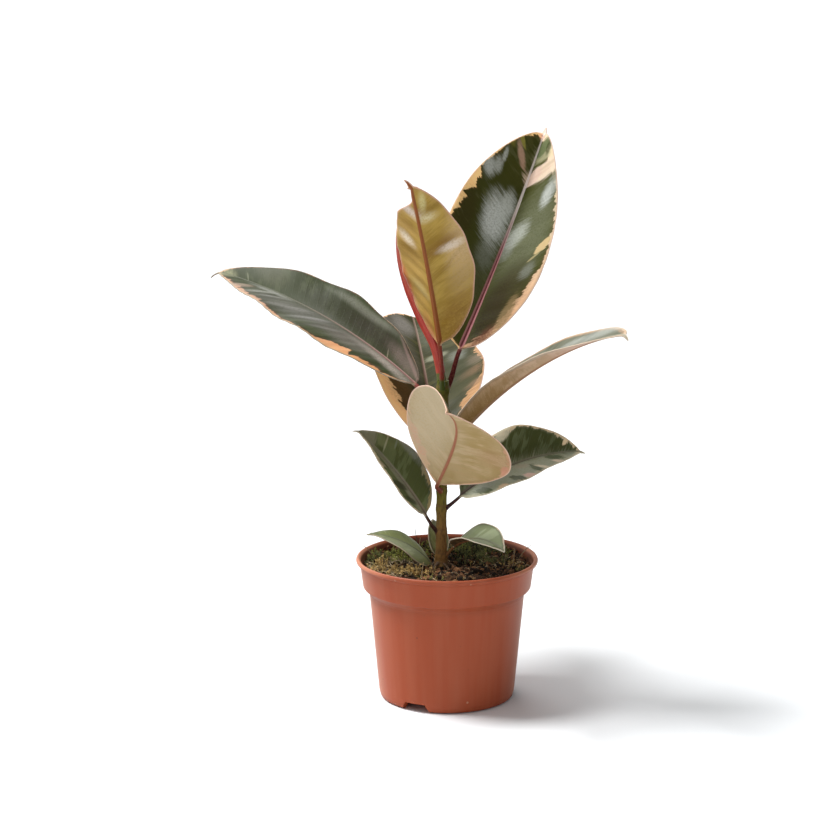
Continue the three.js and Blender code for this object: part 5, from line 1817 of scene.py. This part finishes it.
class PLANT_OT_bud_sheath(bpy.types.Operator):
    """Draw the pointed red sheath round the bud"""

    bl_idname = "rubber_plant.bud_sheath"
    bl_label = "Bud sheath"

    def execute(self, context):
        settings = context.scene.rubber_plant.stem
        path = np.array(SHEATH_PATH, float)
        s = np.linspace(0, 1, SHEATH["rows"]) * (len(path) - 1)
        v = (s / s[-1])[:, None]
        a = np.linspace(0, 2 * np.pi, SHEATH["sides"], endpoint=False)
        r = self.radius(path, s)[:, None] * self.surface(a, v)
        centres = catmull(path[:, :3], s)
        left, up = self.across(centres)
        out = left[:, None] * (r * np.cos(a))[..., None]
        rings = centres[:, None] + out + up[:, None] * (r * np.sin(a))[..., None]
        around = np.broadcast_to(a / (2 * np.pi), r.shape)
        place = np.stack([around, np.broadcast_to(v, r.shape), np.zeros(r.shape)], -1)
        sheath = sewn_skin("red_sheath", rings, {"place": place})
        smooth(sheath)
        dress(sheath, sheath_material(settings), "bud_red", "bud_sheath")
        return {"FINISHED"}

    def radius(self, path, s):
        """Radius along the sheath, with a sharp tip."""
        radius = np.interp(s, np.arange(len(path)), path[:, 3])
        blur = SHEATH["blur"]
        radius = np.convolve(np.pad(radius, blur // 2, mode="edge"), np.ones(blur) / blur, mode="valid")
        tip = SHEATH["tip_rows"]
        radius[-tip:] = np.linspace(radius[-tip], SHEATH["tip"], tip)
        return radius

    def across(self, centres):
        """Directions to the left and upward for each section."""
        heading = np.gradient(centres, axis=0)
        heading[0] = (0, 0, 1)
        heading = unit(heading)
        left = unit(np.cross((1, 0, 0), heading))
        return left, np.cross(heading, left)

    def surface(self, a, v):
        """Lap and pleats, as a factor on the radius."""
        middle = np.sin(np.pi * v)
        lap = SHEATH["lap"] * np.exp(-(((a - SHEATH["lap_angle"]) / SHEATH["lap_half"]) ** 2))
        pleat = SHEATH["pleat"] * np.sin(a * SHEATH["pleats"] + v * 3) * middle
        return 1 + lap * middle + pleat


class PLANT_OT_stage(bpy.types.Operator):
    """Set up the floor, the lights and the camera"""

    bl_idname = "rubber_plant.stage"
    bl_label = "Stage"

    def execute(self, context):
        settings = context.scene.rubber_plant.stage
        self.floor(settings)
        self.room(context.scene, settings)
        self.lights(settings)
        self.camera(context.scene)
        context.scene.view_settings.view_transform = "Standard"
        return {"FINISHED"}

    def floor(self, settings):
        """White paper to the camera, and duller in the light that it gives back."""
        place = (0, 0, STAGE["floor_level"])
        floor = primitive("floor", bpy.ops.mesh.primitive_plane_add, size=STAGE["floor_size"], location=place)
        material, t, shader = new_material("Paper floor", **{"Roughness": 0.9, "Specular IOR Level": 0.1})
        grain = t.noise(t.place(), 40, 3)
        paper = t.mix(t.ramp(grain, 0.3, 0.7, 0, 0.06), tuple(settings.floor), STAGE["paper_grain"])
        seen = t.node("ShaderNodeLightPath").outputs["Is Camera Ray"]
        t.feed(shader["Base Color"], t.mix(seen, (settings.bounce,) * 3, paper))
        floor.data.materials.append(material)

    def room(self, scene, settings):
        """Even light, a little brighter from the left."""
        world = bpy.data.worlds.new("Room")
        world.use_nodes = True
        world.node_tree.nodes.clear()
        t = Tree(world.node_tree)
        seen = t.node("ShaderNodeLightPath").outputs["Is Camera Ray"]
        side = t.split(t.node("ShaderNodeTexCoord").outputs["Generated"])[0]
        sky = t.times_plus(side, -settings.sky_lean, settings.sky)
        strength = t.plus(t.times(seen, t.minus(STAGE["backdrop"], sky)), sky)
        back = t.node("ShaderNodeBackground", inputs={"Color": (1, 1, 1), "Strength": strength})
        out = t.node("ShaderNodeOutputWorld")
        world.node_tree.links.new(back.outputs[0], out.inputs[0])
        scene.world = world

    def lights(self, settings):
        """The key light, and boxes that only show as gloss."""
        rise, turn = settings.key_rise, settings.key_turn
        towards = Vector((-math.cos(rise) * math.cos(turn), math.cos(rise) * math.sin(turn), math.sin(rise)))
        key = self.light("key", "SUN", settings.key, towards * STAGE["key_distance"], Vector())
        key.data.angle = settings.key_size
        for name, (place, size, power) in BOXES.items():
            box = self.light(name, "AREA", power, Vector(place), Vector(STAGE["lit_point"]))
            box.data.size = size
            box.data.diffuse_factor = 0.0

    def light(self, name, kind, power, place, target):
        """A light at place that points at target."""
        data = bpy.data.lights.new(name, kind)
        data.energy = power
        lamp = bpy.data.objects.new(name, data)
        bpy.context.scene.collection.objects.link(lamp)
        lamp.location = place
        lamp.rotation_euler = (target - lamp.location).to_track_quat("-Z", "Y").to_euler()
        return lamp

    def camera(self, scene):
        """A long lens in front of the plant that looks down a little."""
        camera = bpy.data.objects.new("camera", bpy.data.cameras.new("camera"))
        scene.collection.objects.link(camera)
        camera.data.sensor_width = CAMERA["sensor"]
        camera.data.lens = CAMERA["lens"]
        camera.data.clip_start = CAMERA["nearest"]
        camera.data.clip_end = CAMERA["farthest"]
        pitch, yaw = math.radians(CAMERA["pitch"]), math.radians(CAMERA["yaw"])
        level = math.cos(pitch)
        forward = Vector((-math.sin(yaw) * level, math.cos(yaw) * level, -math.sin(pitch)))
        camera.location = CAMERA["place"]
        camera.rotation_euler = forward.to_track_quat("-Z", "Y").to_euler()
        scene.camera = camera


class PLANT_PT_panel(bpy.types.Panel):
    """Buttons for the plant's pieces"""

    bl_idname = "PLANT_PT_panel"
    bl_label = "Rubber plant"
    bl_space_type = "VIEW_3D"
    bl_region_type = "UI"
    bl_category = "Rubber plant"

    def draw(self, context):
        for operator in OPERATORS:
            self.layout.operator(operator.bl_idname)


OPERATORS = (
    PLANT_OT_pot,
    PLANT_OT_soil,
    PLANT_OT_crumbs,
    PLANT_OT_moss,
    PLANT_OT_rootlets,
    PLANT_OT_stem,
    PLANT_OT_leaves,
    PLANT_OT_bud_sheath,
    PLANT_OT_stage,
)
CLASSES = (
    PotSettings,
    SoilSettings,
    StemSettings,
    LeafSettings,
    StageSettings,
    RubberPlantSettings,
    *OPERATORS,
    PLANT_PT_panel,
)


def register():
    for cls in CLASSES:
        bpy.utils.register_class(cls)
    bpy.types.Scene.rubber_plant = bpy.props.PointerProperty(type=RubberPlantSettings)


def unregister():
    del bpy.types.Scene.rubber_plant
    for cls in reversed(CLASSES):
        bpy.utils.unregister_class(cls)


def main():
    register()
    group_leaf_pattern()
    group_leaf_patch()
    group_speckle()
    bpy.ops.rubber_plant.pot()
    bpy.ops.rubber_plant.soil()
    bpy.ops.rubber_plant.crumbs()
    bpy.ops.rubber_plant.moss()
    bpy.ops.rubber_plant.rootlets()
    bpy.ops.rubber_plant.stem()
    bpy.ops.rubber_plant.leaves()
    bpy.ops.rubber_plant.bud_sheath()
    bpy.ops.rubber_plant.stage()


if __name__ == "__main__":
    main()
